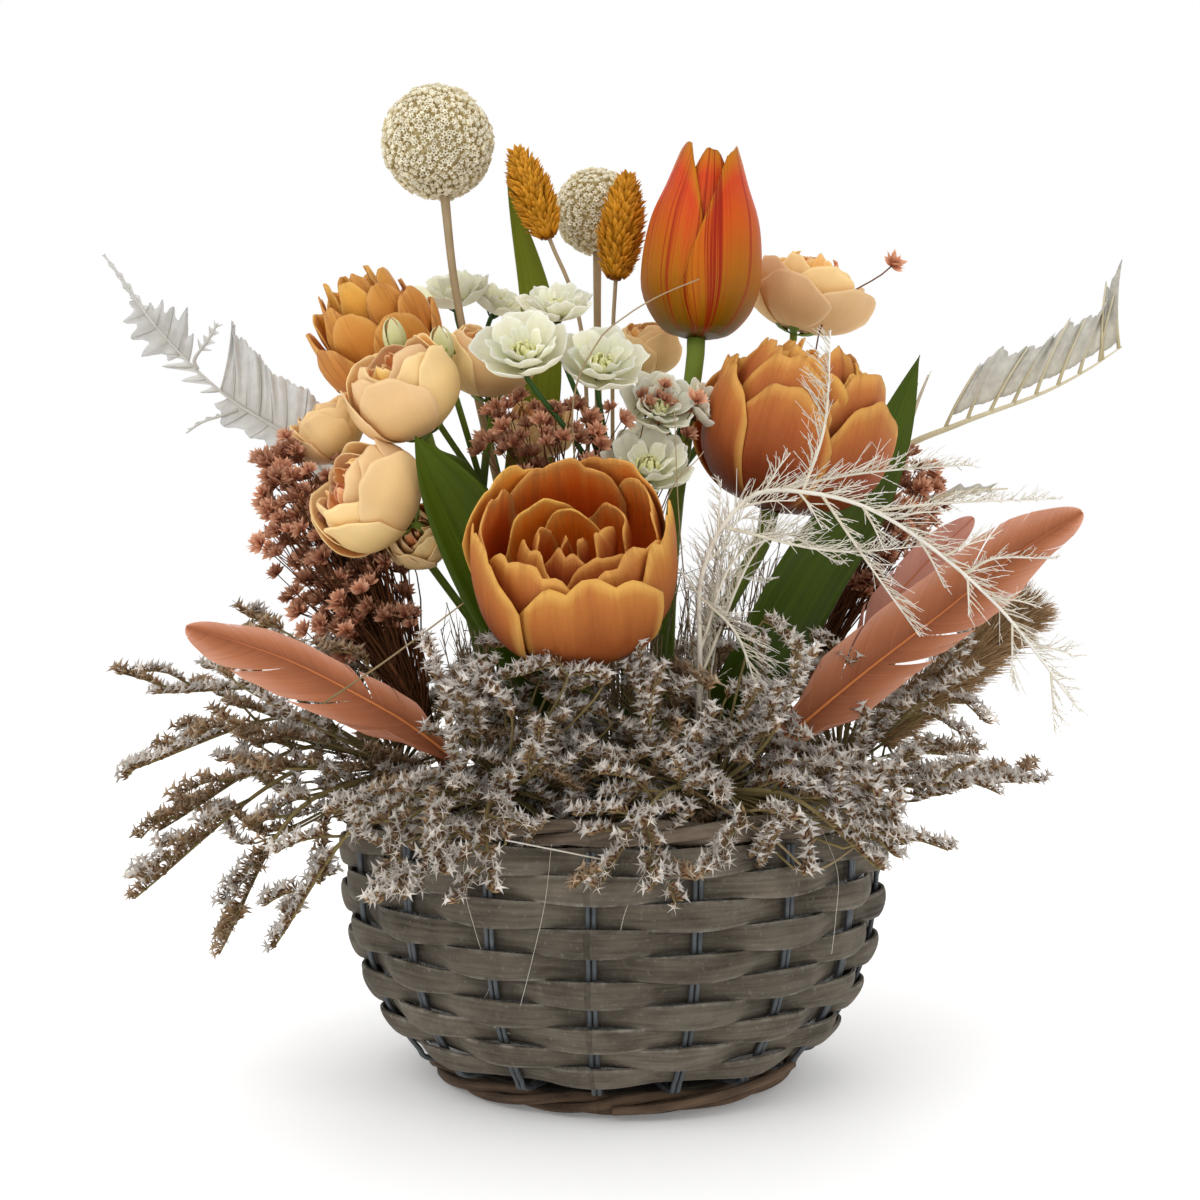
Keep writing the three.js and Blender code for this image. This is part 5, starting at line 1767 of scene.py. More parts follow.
@dataclass(frozen=True)
class SeedHead:
    """An egg of folded ochre bracts on a thin stem.

    Attributes:
        name: The solid it stands for.
        base: The head's lower end.
        tip: The head's upper end.
        radius: The head's radius.
        root: Where its stem leaves the foam.
        path: The stem's free points.
        seed: Seed of the bracts' small differences.
        bracts: Number of bracts.
    """

    name: str
    base: Place
    tip: Place
    radius: float
    root: Place
    path: Path
    seed: int
    bracts: int = 620

    def build(self) -> None:
        """Lap the bracts up the head, and add the stem."""
        draw = np.random.default_rng(self.seed)
        base, tip = vector(self.base), vector(self.tip)
        axis = unit(tip - base)
        long = float(np.linalg.norm(tip - base))
        turn = square_to(axis)
        count = self.bracts
        up = ((np.arange(count) + 0.5) / count) ** 0.95
        angle = np.arange(count) * GOLDEN_TURN + draw.normal(0, 0.1, count)
        bulge = np.sin(math.pi * np.clip(0.1 + 0.86 * up, 0, 1)) ** 0.7
        out = np.stack([np.cos(angle), np.sin(angle), np.zeros(count)], axis=-1)
        places = out * (bulge * self.radius * 0.76)[:, None] + UP * (up * long * 0.9)[:, None]
        z = unit(out * (0.75 - 0.6 * up)[:, None] + UP + draw.normal(0, 0.1, (count, 3)))
        y = unit(np.cross(z, -out))
        turns = turn @ np.stack([np.cross(y, z), y, z], axis=-1)
        sizes = draw.uniform(0.8, 1.15, count)
        form = Form()
        tones = draw.uniform(size=count)
        form.scatter(blade(4.4, 0.95, 0.7, -0.5), turns, base + places @ turn.T, sizes, tones)
        height = steps(12)
        core = self.radius * 0.72 * np.sin(math.pi * (0.06 + 0.88 * height)) ** 0.7
        form.tube(base + axis * (height * long * 0.9)[:, None], core, 10, 0.1)
        form.tube(stem_line(self.root, [*self.path, base + axis * 2]).even(36), 0.8, 7, 0.5, 1)
        form.build(f"{self.name}_bracts", [OCHRE, TAN_STEM], [self.name], "seed_head")


SEED_HEADS = (
    SeedHead("seed_head_left", (-24, 5, 308), (-37, 5, 342), 8.5, (-7, 10),
             ((-9, 10, 200), (-12, 9, 274)), 41),
    SeedHead("seed_head_right", (1, 18, 295), (6, 18, 337), 9.5, (0, 20), ((0, 20, 200), (0, 20, 270)), 42),
)


@dataclass(frozen=True)
class Feather:
    """A feather with its barbs.

    Attributes:
        name: The solid it stands for.
        root: Where its quill leaves the foam.
        path: The quill's free points.
        vane: The line of the vane.
        half: Widths of the vane to the right and to the left of the quill as it grows.
        facing: The way its face looks.
        pale: Whether it is the pale one.
        seed: Seed of its splits.
        barbs: Number of barbs on a side, and rows how many points each has.
    """

    name: str
    root: Place
    path: Path
    vane: Path
    half: tuple[float, float]
    facing: Place
    pale: bool
    seed: int
    barbs: int = 260
    rows: int = 8

    def side(self, form: Form, line: Line, side: int, draw: Draw) -> None:
        """Lay the barbs on one side of the shaft, in clumps and with splits.

        Args:
            form: The form that takes them.
            line: The shaft along the vane.
            side: 1 to the right of the quill as it grows, and -1 to the left.
            draw: Source of the clumps and splits.
        """
        start = np.linspace(0.01, 0.995, self.barbs)
        ahead = line.ahead(start)
        out = unit(np.cross(ahead, vector(self.facing))) * side
        face = np.cross(out, ahead) * side
        clump = np.cumsum(draw.uniform(size=self.barbs) < 0.04)
        tone = draw.uniform(-1, 1, clump[-1] + 1)[clump]
        wide = self.half[0] if side > 0 else self.half[1]
        lead = 1.7 * wide / line.length
        reached = start + lead * np.clip((1 - start) / (2 * lead), 0, 1) + 0.003 * tone
        for split in draw.uniform(0.15, 0.65, 2):
            near = np.clip(1 - np.abs(start - split) / 0.08, 0, 1) ** 1.5
            reached += draw.uniform(0.004, 0.022) * near * np.sign(start - split)
        reach = np.clip(start / 0.12, 0.35, 1) ** 0.6 * np.clip((1 - reached) / 0.26, 0, 1) ** 0.5
        reach = (wide * reach * (1 - draw.uniform(0, 0.035, clump[-1] + 1)[clump]))[:, None]
        share = steps(self.rows)
        across = reach * (1 - (1 - share) ** 1.3)
        forward = (np.clip(reached - start, 0, 1) * line.length)[:, None] * share**1.15
        curve = 0.16 * reach * share**2 + 0.35 * np.sin(start * 30)[:, None] * share
        curve = curve + draw.normal(0, 0.03, (self.barbs, 1))
        paths = line.at(start)[:, None] + out[:, None] * across[..., None]
        paths = paths + ahead[:, None] * forward[..., None]
        paths = paths + face[:, None] * curve[..., None]
        width = line.length / self.barbs * (0.95 - 0.15 * share**3)
        sides = np.broadcast_to(ahead[:, None], paths.shape) * width[None, :, None]
        form.ribbons(paths, sides, 0.2 + 0.6 * start + 0.16 * tone + draw.normal(0, 0.12, self.barbs))

    def build(self) -> None:
        """Build both sides of the vane, and the shaft."""
        draw = np.random.default_rng(self.seed)
        form = Form()
        line = Line(self.vane)
        for side in (-1, 1):
            self.side(form, line, side, draw)
        share = steps(70)
        radii = 0.75 * (1 - share) + 0.14
        form.tube(stem_line(self.root, [*self.path, *self.vane]).at(share), radii, 7, 0.5, 1)
        barb, slot = (PALE_BARB, "pale_feather") if self.pale else (PINK_BARB, "feather")
        form.build(f"{self.name}_barbs", [barb, SHAFT], [self.name], slot)


FEATHERS = (
    Feather("feather_left", (-36, -46), ((-44, -57, 105),),
            ((-52, -66, 118), (-66, -71, 130), (-79, -75, 138.5), (-103, -76, 151), (-122, -76, 158),
             (-140, -74, 163.5)),
            (6.8, 13.2), (0.1, -1, 0.35), False, 51),
    Feather("feather_right", (40, -36), ((46, -42, 106),),
            ((51, -45, 117), (64, -48, 129), (86, -52, 148), (112, -52, 168), (136, -51, 187),
             (160, -50, 202)),
            (11.2, 13.6), (0.1, -1, 0.1), False, 52),
    Feather("feather_pale", (56, -12), ((70, -15, 130),),
            ((84, -17, 150), (98, -17, 168), (114, -16, 186), (131, -15, 202)),
            (6.5, 7.0), (0, -1, 0.2), True, 53),
)


@dataclass(frozen=True)
class Web:
    """One side of a bleached frond: ribs that lean towards the tip, with papery web between them.

    Attributes:
        side: 1 to the left of the main rib as it grows, and -1 to the right.
        slope: The angle between a side rib and the main rib, in degrees.
        reach: Shares of the main rib and the length of the side ribs there.
        ribs: Number of side ribs.
        depth: How deep the outline dips between them.
        start: Where the web begins, as a share of a side rib.
        bone: Radius of a side rib at its foot.
    """

    side: int
    slope: float
    reach: tuple[tuple[float, float], ...]
    ribs: int
    depth: float
    start: float = 0.0
    bone: float = 0.5

    def add(self, form: Form, line: Line, draw: Draw) -> None:
        """Add the web and its ribs to a frond.

        Args:
            form: The form that takes them.
            line: The main rib.
            draw: Source of its small differences.
        """
        count = self.ribs * 10 + 1
        at = np.linspace(self.reach[0][0], self.reach[-1][0], count)
        cell = np.linspace(0, self.ribs, count)
        own = 1.05 - draw.uniform(0, 1, self.ribs + 1) * min(0.06 + 0.5 * self.depth, 0.3)
        long = np.interp(at, *np.array(self.reach).T) * np.interp(cell, np.arange(self.ribs + 1), own)
        edge = long * (1 - self.depth * np.abs(np.sin(cell * math.pi)) ** 1.6)
        edge = edge + 0.5 * np.sin(cell * 21) * long / 20
        ahead = line.ahead(at)
        out = unit(np.cross(ahead, np.array([0, -1.0, 0.05]))) * self.side * -1
        lean = math.radians(self.slope) * (1 + 0.06 * np.sin(cell * 2))
        way = out * np.sin(lean)[:, None] + ahead * np.cos(lean)[:, None]
        share = np.linspace(self.start, 1, 9)
        crumple = 0.05 * np.sin(cell * 4.1)[:, None] * share**2 + 0.03 * np.sin(cell * 9 + 2)[:, None] * share
        spots = line.at(at)[:, None] + way[:, None] * (edge[:, None] * share)[..., None]
        spots += ahead[:, None] * (0.16 * edge[:, None] * share**2)[..., None]
        spots[..., 1] += crumple * edge[:, None] * 1.5
        form.sheet(spots.transpose(1, 0, 2), readings(share[:, None], cell * 2 % 2 - 1, draw.uniform()), 0.18)
        ribs = np.arange(0, count, 10)
        share = np.linspace(0, 0.97, 9)
        long, way, ahead = long[ribs, None, None], way[ribs, None], ahead[ribs, None]
        paths = line.at(at[ribs])[:, None] + way * long * share[:, None]
        paths = paths + ahead * 0.16 * long * share[:, None] ** 2
        paths[..., 1] += (0.05 * np.sin(cell[ribs] * 4.1)[:, None] * share**2) * long[..., 0] * 1.5 - 0.15
        radii = np.linspace(self.bone, self.bone * 0.4, 9)[None] * np.minimum(long[..., 0] / 12, 1)
        form.hairs(paths, radii, draw.uniform(size=len(ribs)), 1)


@dataclass(frozen=True)
class Frond:
    """A frond: its main rib, the rib's radius and its webs."""

    rib: Path
    thick: float
    webs: tuple[Web, ...]


@dataclass(frozen=True)
class Fern:
    """A bleached fern of one or more fronds.

    Attributes:
        name: The solid it stands for.
        root: Where its stem leaves the foam.
        path: The stem's free points.
        fronds: Its fronds.
        look: The finish of the web, and bone that of the ribs.
        seed: Seed of its small differences.
    """

    name: str
    root: Place
    path: Path
    fronds: tuple[Frond, ...]
    look: Finish
    bone: Finish
    seed: int

    def build(self) -> None:
        """Build the stem and its fronds."""
        draw = np.random.default_rng(self.seed)
        form = Form()
        form.tube(stem_line(self.root, [*self.path, self.fronds[0].rib[0]]).even(36), 1.3, 8, 0.4, 1)
        for frond in self.fronds:
            rib = Line(frond.rib)
            form.tube(rib.even(60), np.linspace(frond.thick, 0.3, 60), 8, 0.5, 1)
            for web in frond.webs:
                web.add(form, rib, draw)
        form.build(f"{self.name}_fronds", [self.look, self.bone], [self.name], "bleached_fern")


FERNS = (
    Fern("fern_left", (-56, 14), ((-74, 17, 130), (-98, 20, 185)), (
        Frond(((-104, 21, 205), (-120, 23, 231), (-150, 27, 251), (-176, 28, 276), (-199, 29, 307)), 0.9, (
            Web(-1, 63, ((0.06, 15), (0.21, 19), (0.34, 23), (0.475, 28), (0.5, 26)), 10, 0.05),
            Web(-1, 62, ((0.62, 12), (0.68, 17), (0.74, 13), (0.8, 5)), 4, 0.4),
            Web(-1, 60, ((0.8, 3), (0.9, 2.0), (1.0, 0.8)), 5, 0.5),
            Web(1, 70, ((0.06, 7), (0.25, 9), (0.42, 11), (0.47, 6)), 6, 0.25),
            Web(1, 50, ((0.5, 9), (0.58, 13), (0.65, 10)), 3, 0.9),
            Web(1, 84, ((0.65, 5), (0.71, 14), (0.79, 13), (0.85, 3)), 4, 0.5),
            Web(1, 62, ((0.85, 2), (1.0, 0.8)), 4, 0.5),
        )),
        Frond(((-162, 27.5, 262), (-163, 27, 266), (-158, 27, 273), (-154, 27, 280)), 0.8, (
            Web(1, 60, ((0.4, 4), (0.95, 3)), 3, 0.8),
            Web(-1, 60, ((0.4, 4), (0.95, 3)), 3, 0.8),
        )),
        Frond(((-146, 26, 246), (-153, 26, 243.5), (-160, 26, 241), (-166, 26, 237)), 0.6, (
            Web(-1, 50, ((0.3, 2), (0.9, 2)), 3, 0.6),
        )),
    ), GREY_FROND, GREY_BONE, 61),
    Fern("fern_right", (56, 32), ((70, 36, 140), (92, 39, 190)), (
        Frond(((98, 39, 205), (113, 39, 230), (138, 38, 242), (168, 36, 253), (186, 35, 262), (201, 34, 272)),
              1.7, (
            Web(1, 40, ((0.24, 30), (0.26, 34)), 1, 0.95, 0.7, 1.5),
            Web(1, 48, ((0.4, 28), (0.6, 30), (0.8, 28), (0.92, 24)), 7, 0.12, 0.22, 1.0),
            Web(1, 60, ((0.93, 30), (0.99, 30)), 1, 0.2, 0.1, 1.0),
        )),
        Frond(((92, 39, 190), (112, 38, 205), (134, 36, 214), (156, 34, 216)), 0.9, (
            Web(1, 45, ((0.3, 6), (0.6, 6), (0.9, 4)), 6, 0.5, 0.0, 0.6),
            Web(-1, 45, ((0.3, 5), (0.6, 5), (0.9, 3)), 6, 0.5, 0.0, 0.6),
        )),
    ), FROND, BONE, 62),
)


@dataclass(frozen=True)
class WhiteGrass:
    """Bleached wiry branches set with hair-fine needles.

    Attributes:
        name: The solid it stands for.
        root: Where it leaves the foam.
        foot: Its first free point.
        arch: The line of its arch.
        offshoots: Where each branch leaves the arch, its points and the length of its needles.
        twigs: Number of small side twigs.
    """

    name: str = "white_grass"
    root: Place = (30, -50)
    foot: Place = (28, -58, 120)
    arch: Path = ((28, -68, 150), (29, -71, 182), (42, -78, 204), (60, -79, 207), (88, -76, 199),
                  (124, -70, 172), (155, -64, 135))
    offshoots: tuple[tuple[float, Path, float], ...] = (
        (0.6, ((69, -71, 230), (72, -63, 262)), 15),
        (0.42, ((40, -77, 160), (47, -80, 138)), 13),
        (0.5, ((70, -76, 188), (104, -66, 190)), 12),
        (0.55, ((82, -66, 214), (122, -52, 218)), 12),
        (0.68, ((110, -70, 204), (150, -58, 206)), 9),
        (0.62, ((84, -74, 182), (100, -72, 160)), 11),
        (0.36, ((40, -72, 186), (66, -66, 196)), 14),
        (0.8, ((128, -60, 186), (150, -54, 186)), 7),
        (0.3, ((38, -66, 194), (54, -58, 198)), 15),
        (0.27, ((34, -60, 176), (52, -54, 178)), 14),
        (0.33, ((50, -68, 192), (76, -62, 184)), 14),
        (0.24, ((36, -52, 164), (44, -46, 180)), 12),
    )
    twigs: int = 16

    def needles(self, form: Form, line: Line, first: float, gap: float, long: float, draw: Draw) -> None:
        """Set needles along a branch, longest in its middle, each with a few shorter ones.

        Args:
            form: The form that takes them.
            line: The branch.
            first: Where they begin.
            gap: How far apart they stand.
            long: Their length.
            draw: Source of their small differences.
        """
        start = np.arange(first, 0.995, gap / line.length)
        start = np.clip(np.repeat(start, 2) + draw.normal(0, 0.004, len(start) * 2), 0, 1)
        count = len(start)
        ahead = line.ahead(start)
        around = unit(np.cross(ahead, draw.normal(0, 1, (count, 3)) + np.array([0, 1.6, 0])))
        swell = np.sin(math.pi * np.clip(0.15 + 0.75 * (start - first) / (1 - first), 0, 1))
        reach = (long * swell * draw.uniform(0.2, 1.35, count))[:, None]
        share = steps(5)
        way = unit(around + ahead * draw.uniform(0.4, 2.2, (count, 1)))
        droop = np.array([0, 0, -0.12]) * (reach * share**2)[..., None]
        paths = line.at(start)[:, None] + way[:, None] * (reach * share)[..., None] + droop
        form.hairs(paths, np.linspace(0.22, 0.08, 5)[None], draw.uniform(size=count))
        for begin in (0.35, 0.65):
            side = unit(np.cross(way, draw.normal(0, 1, (count, 3))) + way * 2.6)
            base = paths[:, 0] + (paths[:, -1] - paths[:, 0]) * begin
            short = reach[:, 0] * draw.uniform(0.05, 0.35, count)
            spurs = base[:, None] + side[:, None] * (short[:, None] * share[::2])[..., None]
            form.hairs(spurs, np.array([[0.14, 0.1, 0.06]]), draw.uniform(size=count))

    def build(self) -> None:
        """Build the arch, its offshoots and side twigs, and all needles."""
        draw = np.random.default_rng(71)
        form = Form()
        trunk = stem_line(self.root, [self.foot, *self.arch])
        form.tube(trunk.even(90), np.linspace(1.2, 0.45, 90), 7)
        self.needles(form, trunk, 0.42, 1.9, 15, draw)
        for at, points, long in self.offshoots:
            line = Line([trunk.at(at), *points])
            form.tube(line.even(30), np.linspace(0.6, 0.2, 30))
            self.needles(form, line, 0.05, 1.7, long, draw)
        for index in range(self.twigs):
            at = 0.42 + 0.035 * index
            start, ahead = trunk.at(at), trunk.ahead(at)
            side = unit(np.cross(ahead, [0, -1.0, 0.2])) * (1 if index % 2 else -1) + draw.normal(0, 0.2, 3)
            way = unit(side + ahead * 1.1)
            long = draw.uniform(16, 30) * (1 - 0.4 * at)
            line = Line([start, start + way * long * 0.5, start + way * long + np.array([0, 0, -2.0])])
            form.tube(line.even(14), np.linspace(0.5, 0.15, 14), 5)
            self.needles(form, line, 0.1, 1.9, 8, draw)
        form.build("bleached_branches", [BLEACHED], [self.name], "white_grass")


@dataclass(frozen=True)
class Plume:
    """A brown fuzzy plume.

    Attributes:
        name: The solid it stands for.
        root: Where it leaves the foam.
        foot: Its first free point.
        head: The line of its head.
        radius: How far the hairs reach.
        hairs: Number of hairs.
    """

    name: str = "brown_plume"
    root: Place = (62, -2)
    foot: Place = (76, -6, 112)
    head: Path = ((95, -8, 122), (114, -6, 135), (132, -3, 149), (148, 0, 163), (157, 0, 171))
    radius: float = 12.0
    hairs: int = 9000

    def build(self) -> None:
        """Set the hairs along the head."""
        draw = np.random.default_rng(81)
        form = Form()
        form.tube(stem_line(self.root, [self.foot, *self.head]).even(50), np.linspace(1.4, 0.5, 50), 7, 0.4)
        line = Line(self.head)
        start = draw.uniform(0, 0.94, self.hairs)
        ahead = line.ahead(start)
        around = unit(np.cross(ahead, draw.normal(0, 1, (self.hairs, 3))))
        swell = 0.5 + 0.5 * np.sin(math.pi * np.clip(0.2 + 0.55 * start, 0, 1)) + 0.08 * np.sin(start * 38)
        reach = (self.radius * swell * draw.uniform(0.6, 1.1, self.hairs))[:, None]
        share = steps(4)
        base = line.at(start) + around * draw.uniform(0, 3.0, (self.hairs, 1))
        way = unit(around + ahead * draw.uniform(0.6, 1.6, (self.hairs, 1)))
        sweep = ahead[:, None] * (0.2 * reach * share**2)[..., None]
        paths = base[:, None] + way[:, None] * (reach * share)[..., None] + sweep
        form.hairs(paths, np.linspace(0.22, 0.08, 4)[None], draw.uniform(size=self.hairs))
        form.build("plume_hairs", [FUZZ], [self.name], "brown_plume")


@dataclass(frozen=True)
class StarBunch:
    """Dusty star-flowers on dark hair-thin stems.

    Attributes:
        name: The solid it stands for.
        root: Where the bunch leaves the foam.
        neck: The points where its stems run together.
        clouds: Number of heads, middle and spread of each cloud of heads.
        seed: Seed of the heads' places.
        strays: The bend and the head of each stem that stands off alone.
        stems: Number of stems in the neck.
    """

    name: str
    root: Place
    neck: Path
    clouds: tuple[tuple[int, Place, Place], ...]
    seed: int
    strays: tuple[tuple[Place, Place], ...] = ()
    stems: int = 9

    def head(self, draw: Draw) -> Form:
        """Shape one head of thin pointed bracts.

        Args:
            draw: Source of its small differences.

        Returns:
            The head, standing on the origin.
        """
        form = Form()
        for count, tilt, long in ((8, 1.3, 3.8), (8, 0.95, 4.3), (7, 0.55, 4.2), (4, 0.2, 3.6)):
            angle = (np.arange(count) + draw.uniform(0, 1)) * TURN / count
            lean = tilt + draw.normal(0, 0.12, count)
            out = np.sin(lean)
            axes = np.stack([out * np.cos(angle), out * np.sin(angle), np.cos(lean)], axis=-1)
            turns = square_to(axes, draw.uniform(0, TURN, count))
            sizes = draw.uniform(0.85, 1.1, count)
            bract = blade(long, 0.78, 0.4, 0.35, 4)
            form.scatter(bract, turns, np.zeros((count, 3)), sizes, np.full(count, 0.5))
        return form

    def build(self) -> None:
        """Spread the heads, and run a stem to each."""
        draw = np.random.default_rng(self.seed)
        form = Form()
        clouds = []
        for count, middle, spread in self.clouds:
            way = vector(spread) * unit(draw.normal(0, 1, (count, 3)))
            clouds.append(vector(middle) + way * draw.uniform(0.15, 1, (count, 1)) ** 0.6)
        places = np.vstack(clouds)
        count = len(places)
        low, high = vector(self.neck[0]), vector(self.neck[-1])
        fork = low + (high - low) * draw.uniform(0.1, 1.0, (count, 1)) + draw.normal(0, 1.2, (count, 3))
        gap = (places - fork)[:, None]
        rise = np.linalg.norm(gap, axis=-1)[..., None]
        share = steps(7)[None, :, None]
        bend = draw.normal(0, 0.05, (count, 1, 3)) * rise + np.array([0, 0, 0.06]) * rise
        paths = fork[:, None] + gap * share + bend * 4 * share * (1 - share)
        form.hairs(paths, np.linspace(0.42, 0.2, 7)[None], draw.uniform(size=count), 1)
        trunk = stem_line(self.root, self.neck)
        for _ in range(self.stems):
            shift = draw.normal(0, 1.1, 3) * [1, 1, 0]
            form.tube(trunk.even(24) + shift, 0.45, 5, draw.uniform(), 1)
        axes = unit(unit(places - fork) + draw.normal(0, 0.25, (count, 3)))
        kinds = [self.head(draw) for _ in range(3)]
        for kind, shape in enumerate(kinds):
            part = np.arange(count) % 3 == kind
            total = int(part.sum())
            turns, sizes = square_to(axes[part], draw.uniform(0, TURN, total)), draw.uniform(0.9, 1.4, total)
            form.scatter(shape, turns, places[part], sizes, draw.uniform(size=total))
        for middle, top in self.strays:
            line = Line([high, middle, top])
            form.tube(line.even(30), 0.32, 5, 0.7, 1)
            turn = square_to(line.ahead(1.0))
            form.scatter(kinds[0], turn, vector([top]), np.array([1.5]), np.array([0.9]))
        form.build(f"{self.name}_heads", [STAR, HAIR_STEM], [self.name], "star_flower")


STAR_BUNCHES = (
    StarBunch("star_flowers_left", (-52, -22), ((-62, -30, 118), (-78, -38, 150)), (
        (150, (-98, -32, 192), (29, 17, 30)), (36, (-114, -34, 212), (14, 12, 20)),
        (55, (-92, -38, 168), (24, 14, 17))), 91),
    StarBunch("star_flowers_centre", (-15, -30), ((-16, -30, 140), (-17, -28, 190)), (
        (60, (-22, -34, 229), (30, 12, 17)), (14, (20, -28, 236), (16, 7, 12))), 92),
    StarBunch("star_flowers_right", (52, 10), ((72, 20, 130), (90, 26, 170)), (
        (74, (112, 22, 206), (17, 14, 28)), (22, (98, 22, 184), (12, 10, 14))), 93,
        (((80, 30, 272), (109.5, 30, 303)),)),
)


@dataclass(frozen=True)
class Spray:
    """A spray of sea lavender.

    Attributes:
        name: The solid it stands for.
        root: Where it leaves the foam.
        fork: Where its arms part.
        arms: Middle and tip of each arm.
        fill: Number of short arms and the box of their tips.
        russet: Share of its spikes that have browned.
        seed: Seed of its growth.
        clear: A box that the short arms' tips stay out of.
        gap: How far apart the florets of a spike stand, and spread how far apart the spikes of an arm do.
    """

    name: str
    root: Place
    fork: Place
    arms: tuple[tuple[Place, Place], ...]
    fill: tuple[int, Place, Place]
    russet: float
    seed: int
    clear: tuple[Place, Place] = ((0, 0, 0), (0, 0, 0))
    gap: float = 1.1
    spread: float = 7.5

    @staticmethod
    def floret() -> Form:
        """Shape one papery star with its brown bracts.

        Returns:
            The floret, standing on the origin.
        """
        form = cup(((0.22, 0, 0), (0.38, 1.5, 0), (0.55, 2.7, 0.2), (1.5, 3.7, 2.7)), 5)
        bract = blade(3.2, 0.42, 0.4, 0.3, 3, 1)
        for index in range(4):
            cos, sin = math.cos(index * TURN / 4), math.sin(index * TURN / 4)
            form.join(bract.moved(square_to(np.array([0.4 * cos, 0.4 * sin, 1.0])),
                                  [0.3 * cos, 0.3 * sin, -0.6]))
        return form

    def spike(self, line: Line, first: float, draw: Draw) -> tuple[Array, Array]:
        """Give the places and axes of the florets on one spike.

        Args:
            line: The spike's line.
            first: Where the florets begin.
            draw: Source of its small differences.

        Returns:
            The places and the axes.
        """
        start = np.arange(first * line.length, line.length, self.gap) / line.length
        count = len(start)
        ahead = line.ahead(start)
        top = unit(np.array([0, -0.25, 1.0]) + line.ahead(0.5) * 0.2)
        side = unit(np.cross(ahead, top))
        fan = np.where(np.arange(count) % 2 == 0, 1, -1) * draw.uniform(0.1, 1.0, count)
        axes = top * draw.uniform(0.5, 1.1, (count, 1)) + side * fan[:, None]
        axes = unit(axes + ahead * draw.uniform(0.4, 1.0, (count, 1)))
        return line.at(start) + axes * draw.uniform(0, 1.4, (count, 1)), axes

    def twig(self, form: Form, start: Array, tip: Array, draw: Draw) -> Line:
        """Add one curved twig.

        Args:
            form: The form that takes it.
            start: Where it leaves its arm.
            tip: Where it ends.
            draw: Source of its bend.

        Returns:
            Its line.
        """
        middle = start + (tip - start) * 0.55 + np.array([0, 0, 0.1]) * np.linalg.norm(tip - start)
        line = Line([start, middle + draw.normal(0, 1.0, 3), tip])
        count = max(6, int(line.length / 5))
        form.tube(line.even(count), np.linspace(0.55, 0.3, count), 5, draw.uniform(), 2)
        return line

    def grow(self, form: Form, draw: Draw) -> list[tuple[Line, float]]:
        """Grow the arms, their side spikes and the short arms between them.

        Args:
            form: The form that takes them.
            draw: Source of the growth.

        Returns:
            The line of each spike, and where its florets begin.
        """
        spikes = []
        for middle, tip in self.arms:
            line = Line([self.fork, middle, tip])
            count = int(line.length / 4)
            form.tube(line.even(count), np.linspace(1.1, 0.35, count), 6, draw.uniform(), 2)
            spikes.append((line, 0.6))
            for at in np.arange(0.25, 0.92, self.spread / line.length):
                start, ahead = line.at(at), line.ahead(at)
                side = unit(np.cross(ahead, UP)) * draw.choice([-1, 1])
                way = ahead * draw.uniform(0.7, 1.2) + side * draw.uniform(0.3, 0.9)
                way = unit(way + UP * draw.uniform(-0.1, 0.75))
                spikes.append((self.twig(form, start, start + way * draw.uniform(13, 24), draw), 0.3))
        fork = vector(self.fork)
        count, low, high = self.fill
        for tip in draw.uniform(low, high, (count, 3)):
            if np.all(tip > self.clear[0]) and np.all(tip < self.clear[1]):
                continue
            out = unit(np.array([tip[0], tip[1], 0]))
            lean = draw.normal(0, 0.5, 3)
            way = unit(out * 0.8 + UP * draw.uniform(0.1, 0.9) + lean)
            base = tip - way * draw.uniform(14, 22)
            line = Line([fork + (base - fork) * 0.1, base, tip], 12)
            form.tube(line.even(12), np.linspace(0.6, 0.3, 12), 5, draw.uniform(), 2)
            spikes.append((line, 1 - 19 / max(line.length, 21)))
        return spikes

    def build(self) -> None:
        """Grow the spray and set its florets, papery or browned by the spike."""
        draw = np.random.default_rng(self.seed)
        form = Form()
        form.tube(stem_line(self.root, [self.fork]).even(20), 1.5, 7, 0.5, 2)
        spikes = self.grow(form, draw)
        shape = self.floret()
        turned = draw.uniform(size=len(spikes)) < self.russet
        for browned in (False, True):
            drawn = [self.spike(*spike, draw) for spike, brown in zip(spikes, turned) if brown == browned]
            places, axes = (np.vstack(part) for part in zip(*drawn))
            total = len(places)
            part = Form()
            turns, sizes = square_to(axes, draw.uniform(0, TURN, total)), draw.uniform(0.66, 1.12, total)
            part.scatter(shape, turns, places, sizes, draw.uniform(size=total))
            part.faces = [(faces, 3 if slot == 0 and browned else slot) for faces, slot in part.faces]
            form.join(part)
        form.build(f"{self.name}_florets", [PAPER, BRACT, OLIVE_TWIG, RUSSET], [self.name], "sea_lavender")


